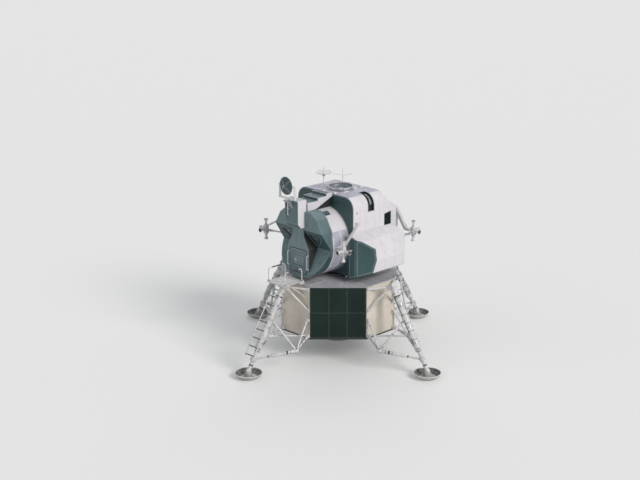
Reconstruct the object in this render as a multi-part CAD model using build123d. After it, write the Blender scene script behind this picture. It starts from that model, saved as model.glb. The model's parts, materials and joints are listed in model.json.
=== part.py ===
from build123d import *
from math import cos, hypot, radians, sin, sqrt, tan
from itertools import product
import os

# Two-stage lunar lander on its gear. Millimetres, +Z up, the ground at Z 0 under the centre.
# The ladder leg points to -Y (front), and +X is the port side.

SEAT = 0.3               # clearance of a piece that is seated on another
SWING = 6.0              # clearance of a piece that moves past another

# Descent stage body
BODY_LOW = 950.0         # underside of the octagonal body above the ground
BODY_HEIGHT = 1900.0
LEG_FACE = 2060.0        # centre to the faces that carry the legs
LEG_FACE_HALF = 700.0    # half width of those faces
PANEL = 34.0             # side panel thickness
DECK = 40.0              # upper deck thickness
SHIELD = 50.0            # lower heat shield thickness
WELL_HALF = 700.0        # half width of the square engine well
WELL_ROOF = 420.0        # deck top to the roof of the engine well
BLAST_R = 560.0          # blast well in the deck, under the ascent engine
BLAST_DEPTH = 300.0

# Landing gear, in the plane of a leg
STRUT_TOP_OUT = 2640.0   # centre to the strut's top
STRUT_TOP_DROP = 90.0    # deck top to the strut's top
STRUT_FOOT_OUT = 4230.0
STRUT_FOOT_Z = 225.0
STRUT_R = 105.0          # outer cylinder
PISTON_R = 72.0
SLEEVE_SHARE = 0.70      # share of the strut that is outer cylinder
PAD_R = 470.0
PAD_FLAT_R = 300.0
PAD_HEIGHT = 180.0
PAD_WALL = 26.0
KNEE_OUT = 2760.0        # lower truss joints
KNEE_SIDE = 780.0
KNEE_DROP = 190.0        # underside of the body to the lower truss joints
KNEE_R = 78.0
BRACE_R = 34.0
SECONDARY_R = 56.0
SECONDARY_ROD_R = 38.0
COLLAR_LOW = 0.86        # share of the strut where the secondary struts meet it
COLLAR_MID = 0.58
COLLAR_HIGH = 0.36
COLLAR_W = 60.0

# Descent engine
GIMBAL_RISE = 840.0      # underside of the body to the gimbal's axes
BELL_EXIT_DROP = 550.0   # underside of the body to the rim of the bell
BELL_THROAT_RISE = 610.0
BELL_EXIT_R = 640.0
BELL_THROAT_R = 150.0
BELL_WALL = 14.0
BELL_CURVE = 0.62        # power of the root curve of the bell's wall
CHAMBER_R = 235.0
RING_R = 400.0
RING_BAR = 46.0
GIMBAL_PIN_R = 26.0
GIMBAL_FIT = 0.05

# Porch, handrails and ladder
PORCH_RISE = 125.0       # deck top to the porch's underside
PORCH_PLATE = 30.0
PORCH_HALF = 430.0
PORCH_LENGTH = 885.0
PORCH_START = 15.0       # front leg face to the porch's rear edge
SLATS = 7                # slots of the grating
SLAT_STEP = 112.0
STAY_DROP = 370.0        # deck top to the foot of the porch's stays
RAIL_RISE = 445.0
LADDER_HALF = 215.0
LADDER_OUT = 230.0       # strut axis to the plane of the rungs
RUNG_STEP = 300.0
RUNGS = 8
LADDER_END = 0.829       # share of the strut beside the lowest rung
BRACKET_RUNGS = (2, 4, 7)
BRACKET_LIFT = 0.0135    # share of the strut from a rung up to the bracket above it

# Stage interface
STAGE_GAP = 130.0        # deck top to the underside of the ascent stage
POST_X = 900.0           # the four posts between the stages
POST_FRONT = -480.0
POST_BACK = 780.0

# Ascent stage shells. Heights named RISE are above the cabin's axis
CABIN_R = 1170.0
WALL = 60.0
MID_FRONT = -620.0
MID_BACK = 900.0
MID_HALF = 1350.0
MID_RISE = 2770.0        # underside of the ascent stage to its top deck
MID_EDGE_R = 400.0       # rounded top edges
RECESS_X = 870.0         # recess of the grab bar in the port edge
RECESS_NEAR = 100.0
RECESS_FAR = 380.0
RECESS_DROP = 570.0      # top deck to the foot of the recess
RECESS_DEEP = 90.0
ENGINE_HOLE_R = 300.0

ASCENT_BELL_R = 400.0
ASCENT_THROAT_R = 110.0
ASCENT_CHAMBER_R = 250.0
ASCENT_EXIT_DROP = 145.0    # deck top to the rim of the ascent engine's bell

# Front face of the cabin
FACE_FRONT = -1900.0
FACE_BACK = -1400.0
BROW_HALF = 620.0
BROW_RISE = 30.0         # cabin radius to the flat top of the brow
KEEL_HALF = 520.0        # centre section round the hatch
KEEL_TOP_HALF = 280.0
NOTCH_HIGH = 640.0
NOTCH_DEEP = -80.0
NOTCH_LOW = -1010.0
NOTCH_Y = -1480.0        # bottom of the notches
WINDOW = ((405, 450), (965, 400), (610, 0))    # corners of the port window, X and rise
GLASS = 12.0
DOCK_WINDOW_W = 150.0
DOCK_WINDOW_L = 300.0
DOCK_WINDOW_Y = -1140.0
DOCK_WINDOW_LEAN = 27.0

# Hatches and docking collar
HATCH = 813.0
HATCH_R = 70.0
HATCH_LIFT = 610.0       # lowest line of the cabin to the hatch's centre
HATCH_THICK = 60.0
HINGE_X = -418.0
HINGE_BEHIND = 74.0      # front face to the hinge's axis
HINGE_PIN_R = 8.0
HINGE_R = 13.0
HINGE_LIFTS = (-230.0, 230.0)
DOCK_Y = 140.0
DOCK_HOLE_R = 386.0
DOCK_HATCH_R = 380.0
COLLAR_HEIGHT = 100.0
COLLAR_BORE = 410.0
COLLAR_OUTER = 470.0

# Cabin interior
FLOOR_LIFT = 198.0       # lowest line of the cabin wall to the top of the floor
FLOOR_THICK = 30.0
RIBS = (-1760.0, -1480.0, -1150.0, -860.0, -620.0)

BOARD_HALF = 470.0       # instrument panel
BOARD_LOW = -90.0
BOARD_HIGH = 470.0
BOARD_THICK = 52.0
COVER_R = 400.0          # drum over the ascent engine
COVER_TALL = 800.0
COVER_WALL = 18.0

# Tank bays, equipment bay, spine and nose
TANK_FRONT = -850.0
TANK_BACK = 1300.0
TANK_PORT = 2200.0        # widest place of the port bay
TANK_STARBOARD = 1950.0
BAY_HALF = 1200.0
BAY_BACK = 1800.0
BAY_RACK = 1400.0        # front of the upright rack in the bay
BAY_ROOF_DROP = 150.0    # top deck to the bay's roof at the midsection
BAY_CORNER_DROP = 750.0  # top deck to the bay's rear corner
BAY_EAVE_DROP = 900.0    # top deck to the underside of the roof
BAY_FLOOR_RISE = 340.0   # underside of the ascent stage to the rack's foot
PRESSURE_TANK_R = 205.0
PRESSURE_TANK_X = 760.0
PRESSURE_TANK_RISE = 220.0
RACK_STRUT_R = 26.0
RACK_STRUT_IN = 115.0    # side of the bay to its outer struts
SPINE_HALF = 360.0
SPINE_STEPS = ((-1800.0, 280.0), (-1320.0, 370.0), (-920.0, 450.0))    # start, height over the brow
SPINE_END = -700.0
SPINE_LEAN_Y = -1430.0   # where the spine's underside starts to rise
SPINE_EDGE = 70.0        # its thickness at the midsection
NOSE_FRONT = -2200.0
NOSE_HALF = 320.0
NOSE_RISE = 400.0        # brow to the top of the nose box
NOSE_DROP = 550.0        # brow to its lowest line
NOSE_SLOT = ((-270.0, -90.0), (50.0, 560.0), 40.0)    # sides, top and bottom under the roof, depth

# Tracking radar
RADAR_AHEAD = 170.0      # nose front to the radar's axes
RADAR_ABOVE = 540.0      # top of the nose box to the dish's centre
RADAR_R = 305.0
FORK_HALF = 345.0
RADAR_PIN_R = 14.0
RADAR_POST_R = 34.0
DISH_DEPTH = 112.0
DISH_WALL = 10.0
DISH_BACK = 60.0

# Reaction thrusters
RCS_X = 1900.0
RCS_FRONT = -1650.0
RCS_AFT = 1800.0
RCS_RISE = 120.0
RCS_HALF = 75.0
RCS_TALL = 300.0
THRUSTER = 215.0         # length of a thruster with its bell
THRUSTER_CHAMBER_R = 44.0
THRUSTER_EXIT_R = 74.0
THRUSTER_THROAT_R = 24.0
BOOM_R = 24.0            # round struts of a boom
BOOM_RISE = 700.0        # root of a front boom

# Levels and places that follow from the dimensions above
z_deck = BODY_LOW + BODY_HEIGHT
z_stage = z_deck + STAGE_GAP
z_axis = z_stage + CABIN_R
z_top = z_stage + MID_RISE
recess_low = z_top - RECESS_DROP
cabin_inner = CABIN_R - WALL
brow_top = CABIN_R + BROW_RISE
roof_rise = MID_RISE - CABIN_R
floor_top = z_axis - CABIN_R + FLOOR_LIFT
hatch_z = z_axis - CABIN_R + HATCH_LIFT
hinge_y = FACE_FRONT + HINGE_BEHIND
dock_hinge_y = DOCK_Y + 398.0
dock_hinge_z = z_top - WALL - 16.0
radar_y = NOSE_FRONT - RADAR_AHEAD
nose_top = z_axis + brow_top + NOSE_RISE
radar_z = nose_top + RADAR_ABOVE
rcs_z = z_axis + RCS_RISE
STRUT_TOP = (STRUT_TOP_OUT, z_deck - STRUT_TOP_DROP)
STRUT_FOOT = (STRUT_FOOT_OUT, STRUT_FOOT_Z)
KNEE = (KNEE_OUT, KNEE_SIDE, BODY_LOW - KNEE_DROP)
strut_length = hypot(STRUT_FOOT[0] - STRUT_TOP[0], STRUT_FOOT[1] - STRUT_TOP[1])
gimbal_z = BODY_LOW + GIMBAL_RISE
bell_exit_z = BODY_LOW - BELL_EXIT_DROP
bell_throat_z = BODY_LOW + BELL_THROAT_RISE
LEGS = {"front": 0, "port": 1, "aft": 2, "starboard": 3}
COLLARS = ((COLLAR_HIGH, STRUT_R + 24), (COLLAR_MID, STRUT_R + 24), (COLLAR_LOW, PISTON_R + 34))
porch_low = z_deck + PORCH_RISE
porch_high = porch_low + PORCH_PLATE
porch_back = -LEG_FACE - PORCH_START
porch_front = porch_back - PORCH_LENGTH

os.makedirs("parts", exist_ok=True)


def save(name, *solids):
    """Writes one node, made of one or more closed solids."""
    flat = [s for shape in solids for s in shape.solids()]
    whole = flat[0] if len(flat) == 1 else Compound(children=flat)
    export_step(whole, f"parts/{name}.step")


def rod(a, b, r, trim_a=0.0, trim_b=0.0):
    """Round bar from point a to point b, cut short at either end."""
    a, b = Vector(*a), Vector(*b)
    way = (b - a).normalized()
    start = a + way * trim_a
    length = (b - a).length - trim_a - trim_b
    return Solid.make_cylinder(r, length, Plane(origin=start, z_dir=way))


def beam(a, b, wide, deep, trim_a=0.0, trim_b=0.0):
    """Rectangular bar from a to b. wide is across, in the XY plane, and deep is the other way."""
    a, b = Vector(*a), Vector(*b)
    way = (b - a).normalized()
    across = Vector(-way.Y, way.X, 0).normalized()
    length = (b - a).length - trim_a - trim_b
    plane = Plane(origin=a + way * (trim_a + length / 2), x_dir=across, z_dir=way)
    return plane * Box(wide, deep, length)


def block(x0, x1, y0, y1, z0, z1):
    return Pos((x0 + x1) / 2, (y0 + y1) / 2, (z0 + z1) / 2) * Box(x1 - x0, y1 - y0, z1 - z0)


def prism_x(points_yz, x0, x1):
    """Prism along X over a closed outline of (y, z) points."""
    face = Plane.YZ.offset(x0) * make_face(Polyline(*points_yz, close=True))
    return extrude(face, amount=x1 - x0)


def prism_y(points_xz, y0, y1):
    """Prism along Y over a closed outline of (x, z) points."""
    face = make_face(Polyline(*[(x, y0, z) for x, z in points_xz], close=True))
    return extrude(face, amount=y1 - y0, dir=(0, 1, 0))


def prism_z(points_xy, z0, z1):
    face = Plane.XY.offset(z0) * make_face(Polyline(*points_xy, close=True))
    return extrude(face, amount=z1 - z0)


def cylinder_y(r, y0, y1, x=0.0, z=0.0):
    return Solid.make_cylinder(r, y1 - y0, Plane(origin=(x, y0, z), z_dir=(0, 1, 0)))


def turned_profile(outline, axis=Axis.Z):
    """Round solid about an axis from its (radius, place along the axis) outline."""
    if axis == Axis.Y:
        points = [(r, along, 0) for r, along in outline]
    else:
        points = [(r, 0, along) for r, along in outline]
    return revolve(make_face(Polyline(*points, close=True)), axis)


def fitted(piece, clears):
    """Cuts the shapes in clears away from a piece and keeps the largest solid that is left."""
    for clear in clears:
        piece = piece - clear
    return piece.solids().sort_by(SortBy.VOLUME)[-1]


def turned(solid, quarter):
    """Turns a piece of the front leg to another leg, by quarter turns."""
    return Rot(0, 0, 90 * quarter) * solid


def leg_point(u, s, z):
    """Point of the front leg: u outward, s to port, z up."""
    return (s, -u, z)


# Descent stage body
def octagon(inset=0.0):
    """Corners of the body's outline, every face moved in by inset."""
    side = LEG_FACE - inset
    # the slanted faces keep their own distance from the centre
    slant = (LEG_FACE + LEG_FACE_HALF) / sqrt(2) - inset
    half = slant * sqrt(2) - side
    return [(side, -half), (side, half), (half, side), (-half, side),
            (-side, half), (-side, -half), (-half, -side), (half, -side)]


def descent_core():
    body = prism_z(octagon(PANEL + SEAT), BODY_LOW + SHIELD + SEAT, z_deck - DECK - SEAT)
    well = block(-WELL_HALF, WELL_HALF, -WELL_HALF, WELL_HALF, BODY_LOW, z_deck - WELL_ROOF)
    blast = Pos(0, 0, z_deck) * Cylinder(BLAST_R, 2 * BLAST_DEPTH)
    return body - well - blast


def upper_deck():
    plate = prism_z(octagon(), z_deck - DECK, z_deck)
    hole = Pos(0, 0, z_deck) * Cylinder(BLAST_R, 4 * DECK)
    return plate - hole


def blast_deflector():
    """Shallow dish that lines the blast well under the ascent engine."""
    r = BLAST_R - SEAT
    wall = 16.0
    floor = z_deck - BLAST_DEPTH + SEAT
    outline = [(0, floor + 70), (150, floor), (r, floor), (r, z_deck), (r - wall, z_deck),
               (r - wall, floor + 60), (r - 90, floor + wall), (170, floor + wall), (0, floor + 70 + wall)]
    return turned_profile(outline)


def base_heat_shield():
    plate = prism_z(octagon(), BODY_LOW, BODY_LOW + SHIELD)
    rim = Pos(0, 0, BODY_LOW - 15) * Cylinder(WELL_HALF + 40, 30)
    hole = Pos(0, 0, BODY_LOW) * Cylinder(WELL_HALF - 10, 400)
    return plate + rim - hole


def side_panel(width, height, rib, columns, rows):
    """Flat panel standing at Y 0, its outer face to -Y, with raised edge strips and ribs."""
    skin = PANEL - rib
    panel = block(-width / 2, width / 2, -skin, 0, 0, height)
    strip = 46.0
    for n in range(columns + 1):
        x = -width / 2 + strip / 2 + (width - strip) * n / columns
        panel += block(x - strip / 2, x + strip / 2, -PANEL, -skin, 0, height)
    for n in range(rows + 1):
        z = strip / 2 + (height - strip) * n / rows
        panel += block(-width / 2, width / 2, -PANEL, -skin, z - strip / 2, z + strip / 2)
    return panel


def body_panels():
    """The four quadrant panels and the four leg bay panels."""
    height = BODY_HEIGHT - DECK - SHIELD - 2 * SEAT
    low = BODY_LOW + SHIELD + SEAT
    slant = (LEG_FACE + LEG_FACE_HALF) / sqrt(2)
    slant_width = (LEG_FACE - LEG_FACE_HALF) * sqrt(2) - 2 * SEAT - 2 * PANEL * tan(radians(22.5))
    leg_width = 2 * LEG_FACE_HALF - 2 * SEAT - 2 * PANEL * tan(radians(22.5))
    quadrant = side_panel(slant_width, height, 12.0, 3, 2)
    bay = side_panel(leg_width, height, 12.0, 2, 3)
    quadrants = [Rot(0, 0, 45 + 90 * n) * Pos(0, -slant + PANEL, low) * quadrant for n in range(4)]
    bays = [Rot(0, 0, 90 * n) * Pos(0, -LEG_FACE + PANEL, low) * bay for n in range(4)]
    return quadrants, bays


# Landing gear
def on_strut(share):
    """Point on the axis of the front leg's strut."""
    u = STRUT_TOP[0] + (STRUT_FOOT[0] - STRUT_TOP[0]) * share
    z = STRUT_TOP[1] + (STRUT_FOOT[1] - STRUT_TOP[1]) * share
    return leg_point(u, 0, z)


def primary_strut(grow=0.0):
    """Outer cylinder, piston, end ball and the collars that the braces meet."""
    top, foot = on_strut(0), on_strut(1)
    strut = rod(top, on_strut(SLEEVE_SHARE), STRUT_R + grow)
    strut += rod(top, foot, PISTON_R + grow, trim_a=100)
    strut += rod(on_strut(SLEEVE_SHARE - 0.02), on_strut(SLEEVE_SHARE + 0.02), STRUT_R + 16 + grow)
    for share, radius in COLLARS:
        half = (COLLAR_W + grow) / strut_length
        strut += rod(on_strut(share - half), on_strut(share + half), radius + grow)
    return strut + Pos(*foot) * Sphere(PISTON_R + 22 + grow)


def secondary_strut(knee, grow=0.0):
    """Telescopic strut from a truss joint to the low collar."""
    goal = on_strut(COLLAR_LOW)
    length = (Vector(*goal) - Vector(*knee)).length
    strut = rod(knee, goal, SECONDARY_R + grow, 0, length * 0.42)
    strut += rod(knee, goal, SECONDARY_R + 9 + grow, length * 0.50, length * 0.42)
    return strut + rod(knee, goal, SECONDARY_ROD_R + grow, 50, 0)


def gear_truss():
    """Truss joints, secondary struts and the braces to the body and to the primary strut."""
    face = LEG_FACE + SEAT
    knee = leg_point(*KNEE)
    clears = [primary_strut(SEAT), Pos(*knee) * Sphere(KNEE_R + SEAT)]
    pieces = [Pos(*knee) * Sphere(KNEE_R)]
    low_eye = leg_point(face + 50, LEG_FACE_HALF - 74, BODY_LOW + 120)
    high_eye = leg_point(face + 50, LEG_FACE_HALF - 74, BODY_LOW + 700)
    for x, y, z in (low_eye, high_eye):
        pieces.append(block(x - 66, x + 66, y - 46, -face, z - 52, z + 52))
        clears.append(block(x - 66 - SEAT, x + 66 + SEAT, y - 46 - SEAT, 0, z - 52 - SEAT, z + 52 + SEAT))
    outer_eye = (low_eye[0] + 30, low_eye[1], low_eye[2])
    inner_eye = (low_eye[0] - 32, low_eye[1], low_eye[2] + 10)
    pieces.append(fitted(secondary_strut(knee), clears))
    clears.append(secondary_strut(knee, SEAT))
    for start, end, r in ((knee, outer_eye, BRACE_R), (knee, high_eye, BRACE_R),
                          (knee, on_strut(COLLAR_HIGH), BRACE_R),
                          (inner_eye, on_strut(COLLAR_MID), BRACE_R * 0.8)):
        pieces.append(fitted(rod(start, end, r), clears))
        clears.append(rod(start, end, r + SEAT))
    return pieces + [mirror(piece, about=Plane.YZ) for piece in pieces]


def footpad():
    """Dished pad with a flat sole, and the socket that holds the strut's ball."""
    u = STRUT_FOOT[0]
    socket_r = PISTON_R + 22
    outline = [(0, 0), (PAD_FLAT_R, 0), (PAD_R - 40, PAD_HEIGHT * 0.55), (PAD_R, PAD_HEIGHT),
               (PAD_R - PAD_WALL, PAD_HEIGHT), (PAD_R - 40 - PAD_WALL, PAD_HEIGHT * 0.55 + 12),
               (PAD_FLAT_R - 14, PAD_WALL), (socket_r + 34, PAD_WALL),
               (socket_r + 20, STRUT_FOOT[1] - 60), (socket_r * 0.9, STRUT_FOOT[1] - 40),
               (0, STRUT_FOOT[1] - 40)]
    pad = turned_profile(outline)
    ball = Pos(0, 0, STRUT_FOOT[1]) * Sphere(socket_r + SEAT)
    return Pos(*leg_point(u, 0, 0)) * (pad - ball)


def outrigger():
    """Four bars from the body's corners to the block that holds the top of the strut."""
    u, z = STRUT_TOP
    half = STRUT_R + 40
    tall = 160.0
    axis = (Vector(*on_strut(0)) - Vector(*on_strut(1))).normalized()
    inward = Vector(0, axis.Z, -axis.Y)
    top = Plane(origin=leg_point(u, 0, z), x_dir=(1, 0, 0), z_dir=axis)
    head = top * Pos(0, 0, SEAT + tall / 2) * Box(2 * half, 2 * half, tall)
    around = top * Pos(0, 0, SEAT + tall / 2) * Box(2 * (half + SEAT), 2 * (half + SEAT), tall + 2 * SEAT)
    pieces = [head]
    for side in (-1, 1):
        for drop, share in ((110, 0.74), (850, 0.26)):
            foot = leg_point(LEG_FACE + 18, side * (LEG_FACE_HALF - 84), z_deck - drop)
            goal = Vector(*leg_point(u, side * (half - 42), z)) + axis * (tall * share) + inward * half
            x, y, z_foot = foot
            eye = block(x - 60, x + 60, y - 24, -LEG_FACE - SEAT, z_foot - 60, z_foot + 60)
            clear = block(x - 60, x + 60, y - 24 - SEAT, 0, z_foot - 90, z_foot + 90)
            pieces.append(eye)
            pieces.append(fitted(rod(foot, tuple(goal), 36, 0, -40), (around, clear)))
    return pieces


# Descent engine
def engine_mount():
    """Two brackets that hang from the roof of the well and hold the gimbal ring's pins."""
    roof = z_deck - WELL_ROOF - SEAT
    inner = RING_R + RING_BAR / 2 + 6
    pieces = []
    for side in (-1, 1):
        near, far = sorted((side * inner, side * (inner + 54)))
        leg = block(near, far, -90, 90, gimbal_z - 70, roof)
        low, high = sorted((side * (inner - 70), side * (inner + 120)))
        leg += block(low, high, -130, 130, roof - 30, roof)
        pin = Solid.make_cylinder(GIMBAL_PIN_R + GIMBAL_FIT, 1400,
                                  Plane(origin=(-700, 0, gimbal_z), z_dir=(1, 0, 0)))
        pieces.append(leg - pin)
    return pieces


def gimbal_ring():
    outer, inner = RING_R + RING_BAR / 2, RING_R - RING_BAR / 2
    ring = Pos(0, 0, gimbal_z) * (Cylinder(outer, 84) - Cylinder(inner, 90))
    for side in (-1, 1):
        ring += rod((side * (inner + 10), 0, gimbal_z), (side * (outer + 64), 0, gimbal_z), GIMBAL_PIN_R)
    holes = Solid.make_cylinder(GIMBAL_PIN_R + GIMBAL_FIT, 1000,
                                Plane(origin=(0, -500, gimbal_z), z_dir=(0, 1, 0)))
    return ring - holes


def bell(exit_r, throat_r, exit_z, throat_z, wall, steps=12):
    """Hollow nozzle bell, its wall following a root curve from the throat to the exit."""
    length = throat_z - exit_z
    inner = []
    for n in range(steps + 1):
        share = n / steps
        radius = throat_r + (exit_r - wall - throat_r) * share ** BELL_CURVE
        inner.append((radius, throat_z - length * share))
    outer = [(r + wall, z) for r, z in inner]
    return turned_profile(inner + outer[::-1])


def descent_engine():
    """Chamber with its two gimbal pins along Y, injector head, throat and bell."""
    nozzle = bell(BELL_EXIT_R, BELL_THROAT_R, bell_exit_z, bell_throat_z, BELL_WALL)
    outline = [(BELL_THROAT_R, bell_throat_z - 30), (BELL_THROAT_R + BELL_WALL, bell_throat_z - 30),
               (BELL_THROAT_R + BELL_WALL, bell_throat_z + 10), (CHAMBER_R, bell_throat_z + 110),
               (CHAMBER_R, gimbal_z + 150), (CHAMBER_R - 40, gimbal_z + 210), (0, gimbal_z + 210),
               (0, bell_throat_z + 70), (BELL_THROAT_R, bell_throat_z + 10)]
    chamber = turned_profile(outline)
    body = nozzle + chamber
    for side in (-1, 1):
        start = (0, side * (CHAMBER_R - 20), gimbal_z)
        body += rod(start, (0, side * (RING_R + 36), gimbal_z), GIMBAL_PIN_R)
        body += rod(start, (0, side * (RING_R - RING_BAR / 2 - 14), gimbal_z), 52)
    for share in (0.30, 0.55, 0.80):
        ring_z = bell_throat_z - (bell_throat_z - bell_exit_z) * share
        ring_r = BELL_THROAT_R + (BELL_EXIT_R - BELL_WALL - BELL_THROAT_R) * share ** BELL_CURVE
        body += Pos(0, 0, ring_z) * (Cylinder(ring_r + BELL_WALL + 10, 24) - Cylinder(ring_r + 4, 40))
    return body


# Porch, handrails and ladder
def porch():
    """Slatted platform on two brackets and two diagonal stays."""
    plate = block(-PORCH_HALF, PORCH_HALF, porch_front, porch_back, porch_low, porch_high)
    slot = 0.57 * SLAT_STEP
    for n in range(SLATS):
        x = (n - (SLATS - 1) / 2) * SLAT_STEP
        sides = (x - slot / 2, x + slot / 2)
        plate -= block(*sides, porch_front + 80, porch_back - 80, porch_low - 10, porch_high + 10)
    pieces = [plate]
    for side in (-1, 1):
        near, far = sorted((side * 290, side * 340))
        pieces.append(block(near, far, porch_back - 75, porch_back + 115, z_deck + SEAT, porch_low - SEAT))
        x = side * 380
        low = z_deck - STAY_DROP
        foot = block(x - 50, x + 50, -LEG_FACE - 24, -LEG_FACE + 12 - SEAT, low - 60, low + 60)
        stay = rod((x, -LEG_FACE - 12, low), (x, porch_front + 200, porch_high), 20)
        over = block(x - 60, x + 60, porch_front - 40, porch_back + 75, porch_low - SEAT, porch_high + 60)
        pieces.append(fitted(foot + stay, [over]))
    return pieces


def pipe(points, r, bend):
    """Round pipe along straight lines with bent corners."""
    path = FilletPolyline(*points, radius=bend)
    return sweep(Plane(origin=path @ 0, z_dir=path % 0) * Circle(r), path=path)


def porch_handrails():
    rails = []
    base = porch_high + SEAT
    top = porch_high + RAIL_RISE
    back, front = porch_back - 60, porch_front + 60
    for side in (-1, 1):
        x = side * (PORCH_HALF - 22)
        rails.append(pipe([(x, back, base), (x, back, top), (x, front, top), (x, front, base)], 17, 110))
    return rails


def ladder_point(share, side):
    """Point on a ladder rail beside a share of the strut. side is -1, 0 or 1."""
    x, y, z = on_strut(share)
    slope = Vector(*on_strut(1)) - Vector(*on_strut(0))
    out = Vector(0, slope.Z, -slope.Y).normalized()
    point = Vector(x + side * LADDER_HALF, y, z) + out * LADDER_OUT
    return tuple(point)


def ladder():
    """Two rails, the rungs between them and the stand-off brackets to the strut."""
    pieces = []
    step = RUNG_STEP / strut_length
    clears = [primary_strut(SEAT)]
    for side in (-1, 1):
        low, high = ladder_point(LADDER_END + 0.012, side), ladder_point(0.045, side)
        pieces.append(rod(high, low, 19))
        clears.append(rod(high, low, 19 + SEAT))
    for n in range(RUNGS):
        share = LADDER_END - n * step
        pieces.append(fitted(rod(ladder_point(share, -1), ladder_point(share, 1), 15), clears))
    for n in BRACKET_RUNGS:
        share = LADDER_END - n * step - BRACKET_LIFT
        for side in (-1, 1):
            pieces.append(fitted(rod(ladder_point(share, side), on_strut(share), 12), clears))
    return pieces


# Between the stages
def interstage_fittings():
    """Posts that carry the ascent stage on the deck."""
    pieces = []
    for x, y in product((-POST_X, POST_X), (POST_FRONT, POST_BACK)):
        outline = [(0, z_deck + SEAT), (95, z_deck + SEAT), (95, z_deck + 24), (60, z_deck + 40),
                   (60, z_stage - 14), (48, z_stage - SEAT), (0, z_stage - SEAT)]
        pieces.append(Pos(x, y, 0) * turned_profile(outline))
    return pieces


# Ascent stage
def midsection_shell():
    """Middle of the ascent stage: rounded box, open at the front to the cabin barrel."""
    def skin(inset):
        box = block(-MID_HALF + inset, MID_HALF - inset, MID_FRONT + inset, MID_BACK - inset,
                    z_stage + inset, z_top - inset)
        sides = box.edges().filter_by(Axis.Y)
        box = fillet(sides.group_by(Axis.Z)[-1], MID_EDGE_R - inset)
        return chamfer(box.edges().filter_by(Axis.Y).group_by(Axis.Z)[0], 160 - inset / 2)
    outer, inner = skin(0.0), skin(WALL)
    floor = skin(RECESS_DEEP)
    under_floor = skin(RECESS_DEEP + 40)
    recess = block(RECESS_X, MID_HALF + 50, RECESS_NEAR, RECESS_FAR, recess_low, z_top + 50) - floor
    tray = block(RECESS_X - 40, MID_HALF + 50, RECESS_NEAR - 40, RECESS_FAR + 40, recess_low - 40, z_top)
    shell = outer - (inner - (tray - under_floor)) - recess
    shell -= cylinder_y(cabin_inner, MID_FRONT - 50, MID_FRONT + WALL + 50, z=z_axis)
    shell -= Pos(0, DOCK_Y, z_top) * Cylinder(DOCK_HOLE_R, 4 * WALL)
    return shell - Pos(0, 0, z_stage) * Cylinder(ENGINE_HOLE_R, 4 * WALL)


def recess_bar():
    """Bent grab bar that stands in the recess of the port edge."""
    centre = (RECESS_NEAR + RECESS_FAR) / 2

    def at(r, angle):
        along = Vector(cos(radians(angle)), 0, sin(radians(angle)))
        return tuple(Vector(MID_HALF - MID_EDGE_R, centre, z_top - MID_EDGE_R) + along * r)
    radius = MID_EDGE_R - 34
    curve = ThreePointArc(at(radius, 74), at(radius, 41), at(radius, 8))
    bar = sweep(Plane(origin=curve @ 0, z_dir=curve % 0) * Circle(17), path=curve)
    for angle in (74, 8):
        bar += rod(at(MID_EDGE_R - RECESS_DEEP + SEAT, angle), at(radius, angle), 15)
        bar += Pos(*at(radius, angle)) * Sphere(17)
    return bar


def cabin_barrel():
    """Cylindrical cabin wall between the midsection and the front face, with the docking window cut."""
    y0, y1 = FACE_BACK + SEAT, MID_FRONT - SEAT
    barrel = cylinder_y(CABIN_R, y0, y1, z=z_axis) - cylinder_y(cabin_inner, y0 - 9, y1 + 9, z=z_axis)
    return barrel - docking_window_prism(0.0)


def docking_window_prism(inset):
    """Upright cut through the barrel above the port crew place."""
    lean = Rot(0, DOCK_WINDOW_LEAN, 0)
    box = Box(DOCK_WINDOW_W - 2 * inset, DOCK_WINDOW_L - 2 * inset, 400)
    return Pos(0, DOCK_WINDOW_Y, z_axis) * lean * Pos(0, 0, CABIN_R) * box


def docking_window():
    ring = cylinder_y(CABIN_R - 20, FACE_BACK, MID_FRONT, z=z_axis)
    ring -= cylinder_y(CABIN_R - 20 - GLASS, FACE_BACK - 50, MID_FRONT + 50, z=z_axis)
    pane = ring & docking_window_prism(SEAT)
    return pane.solids().sort_by(Axis.Z)[-1]


def face_outline(inset):
    """Outline of the front face: a half circle below and a flat-sided brow above."""
    port = [(CABIN_R, 0), (CABIN_R - 40, 560), (CABIN_R - 290, brow_top - 200), (BROW_HALF, brow_top)]
    starboard = [(-x, z) for x, z in reversed(port)]
    lower = ThreePointArc((-CABIN_R, 0), (0, -CABIN_R), (CABIN_R, 0))
    sketch = make_face(Polyline(*port, *starboard) + lower)
    if inset:
        sketch = offset(sketch, amount=-inset, kind=Kind.INTERSECTION)
    return sketch


def face_prism(inset, y0, y1):
    plane = Plane(origin=(0, y1, z_axis), x_dir=(1, 0, 0), z_dir=(0, -1, 0))
    return extrude(plane * face_outline(inset), amount=y1 - y0, dir=(0, -1, 0))


def notch(grow):
    """Wedge that is cut from both sides of the face, its planes moved back by grow."""
    apex = (NOTCH_Y, NOTCH_DEEP)
    high = (FACE_FRONT - 50, NOTCH_HIGH)
    low = (FACE_FRONT - 50, NOTCH_LOW)
    up_way = Vector(0, high[0] - apex[0], high[1] - apex[1]).normalized()
    down_way = Vector(0, low[0] - apex[0], low[1] - apex[1]).normalized()
    reach = 1400.0
    # the two grown planes meet behind the apex
    half = up_way.dot(down_way)
    back = grow / sqrt((1 - half) / 2)
    bisector = (up_way + down_way).normalized()
    meet = Vector(0, apex[0], apex[1]) - bisector * back
    a = meet + up_way * reach
    b = meet + down_way * reach
    far = FACE_FRONT - 900
    points = [(meet.Y, meet.Z), (a.Y, a.Z), (far, a.Z), (far, b.Z), (b.Y, b.Z)]
    return prism_x([(y, z + z_axis) for y, z in points], -1300, 1300)


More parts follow.
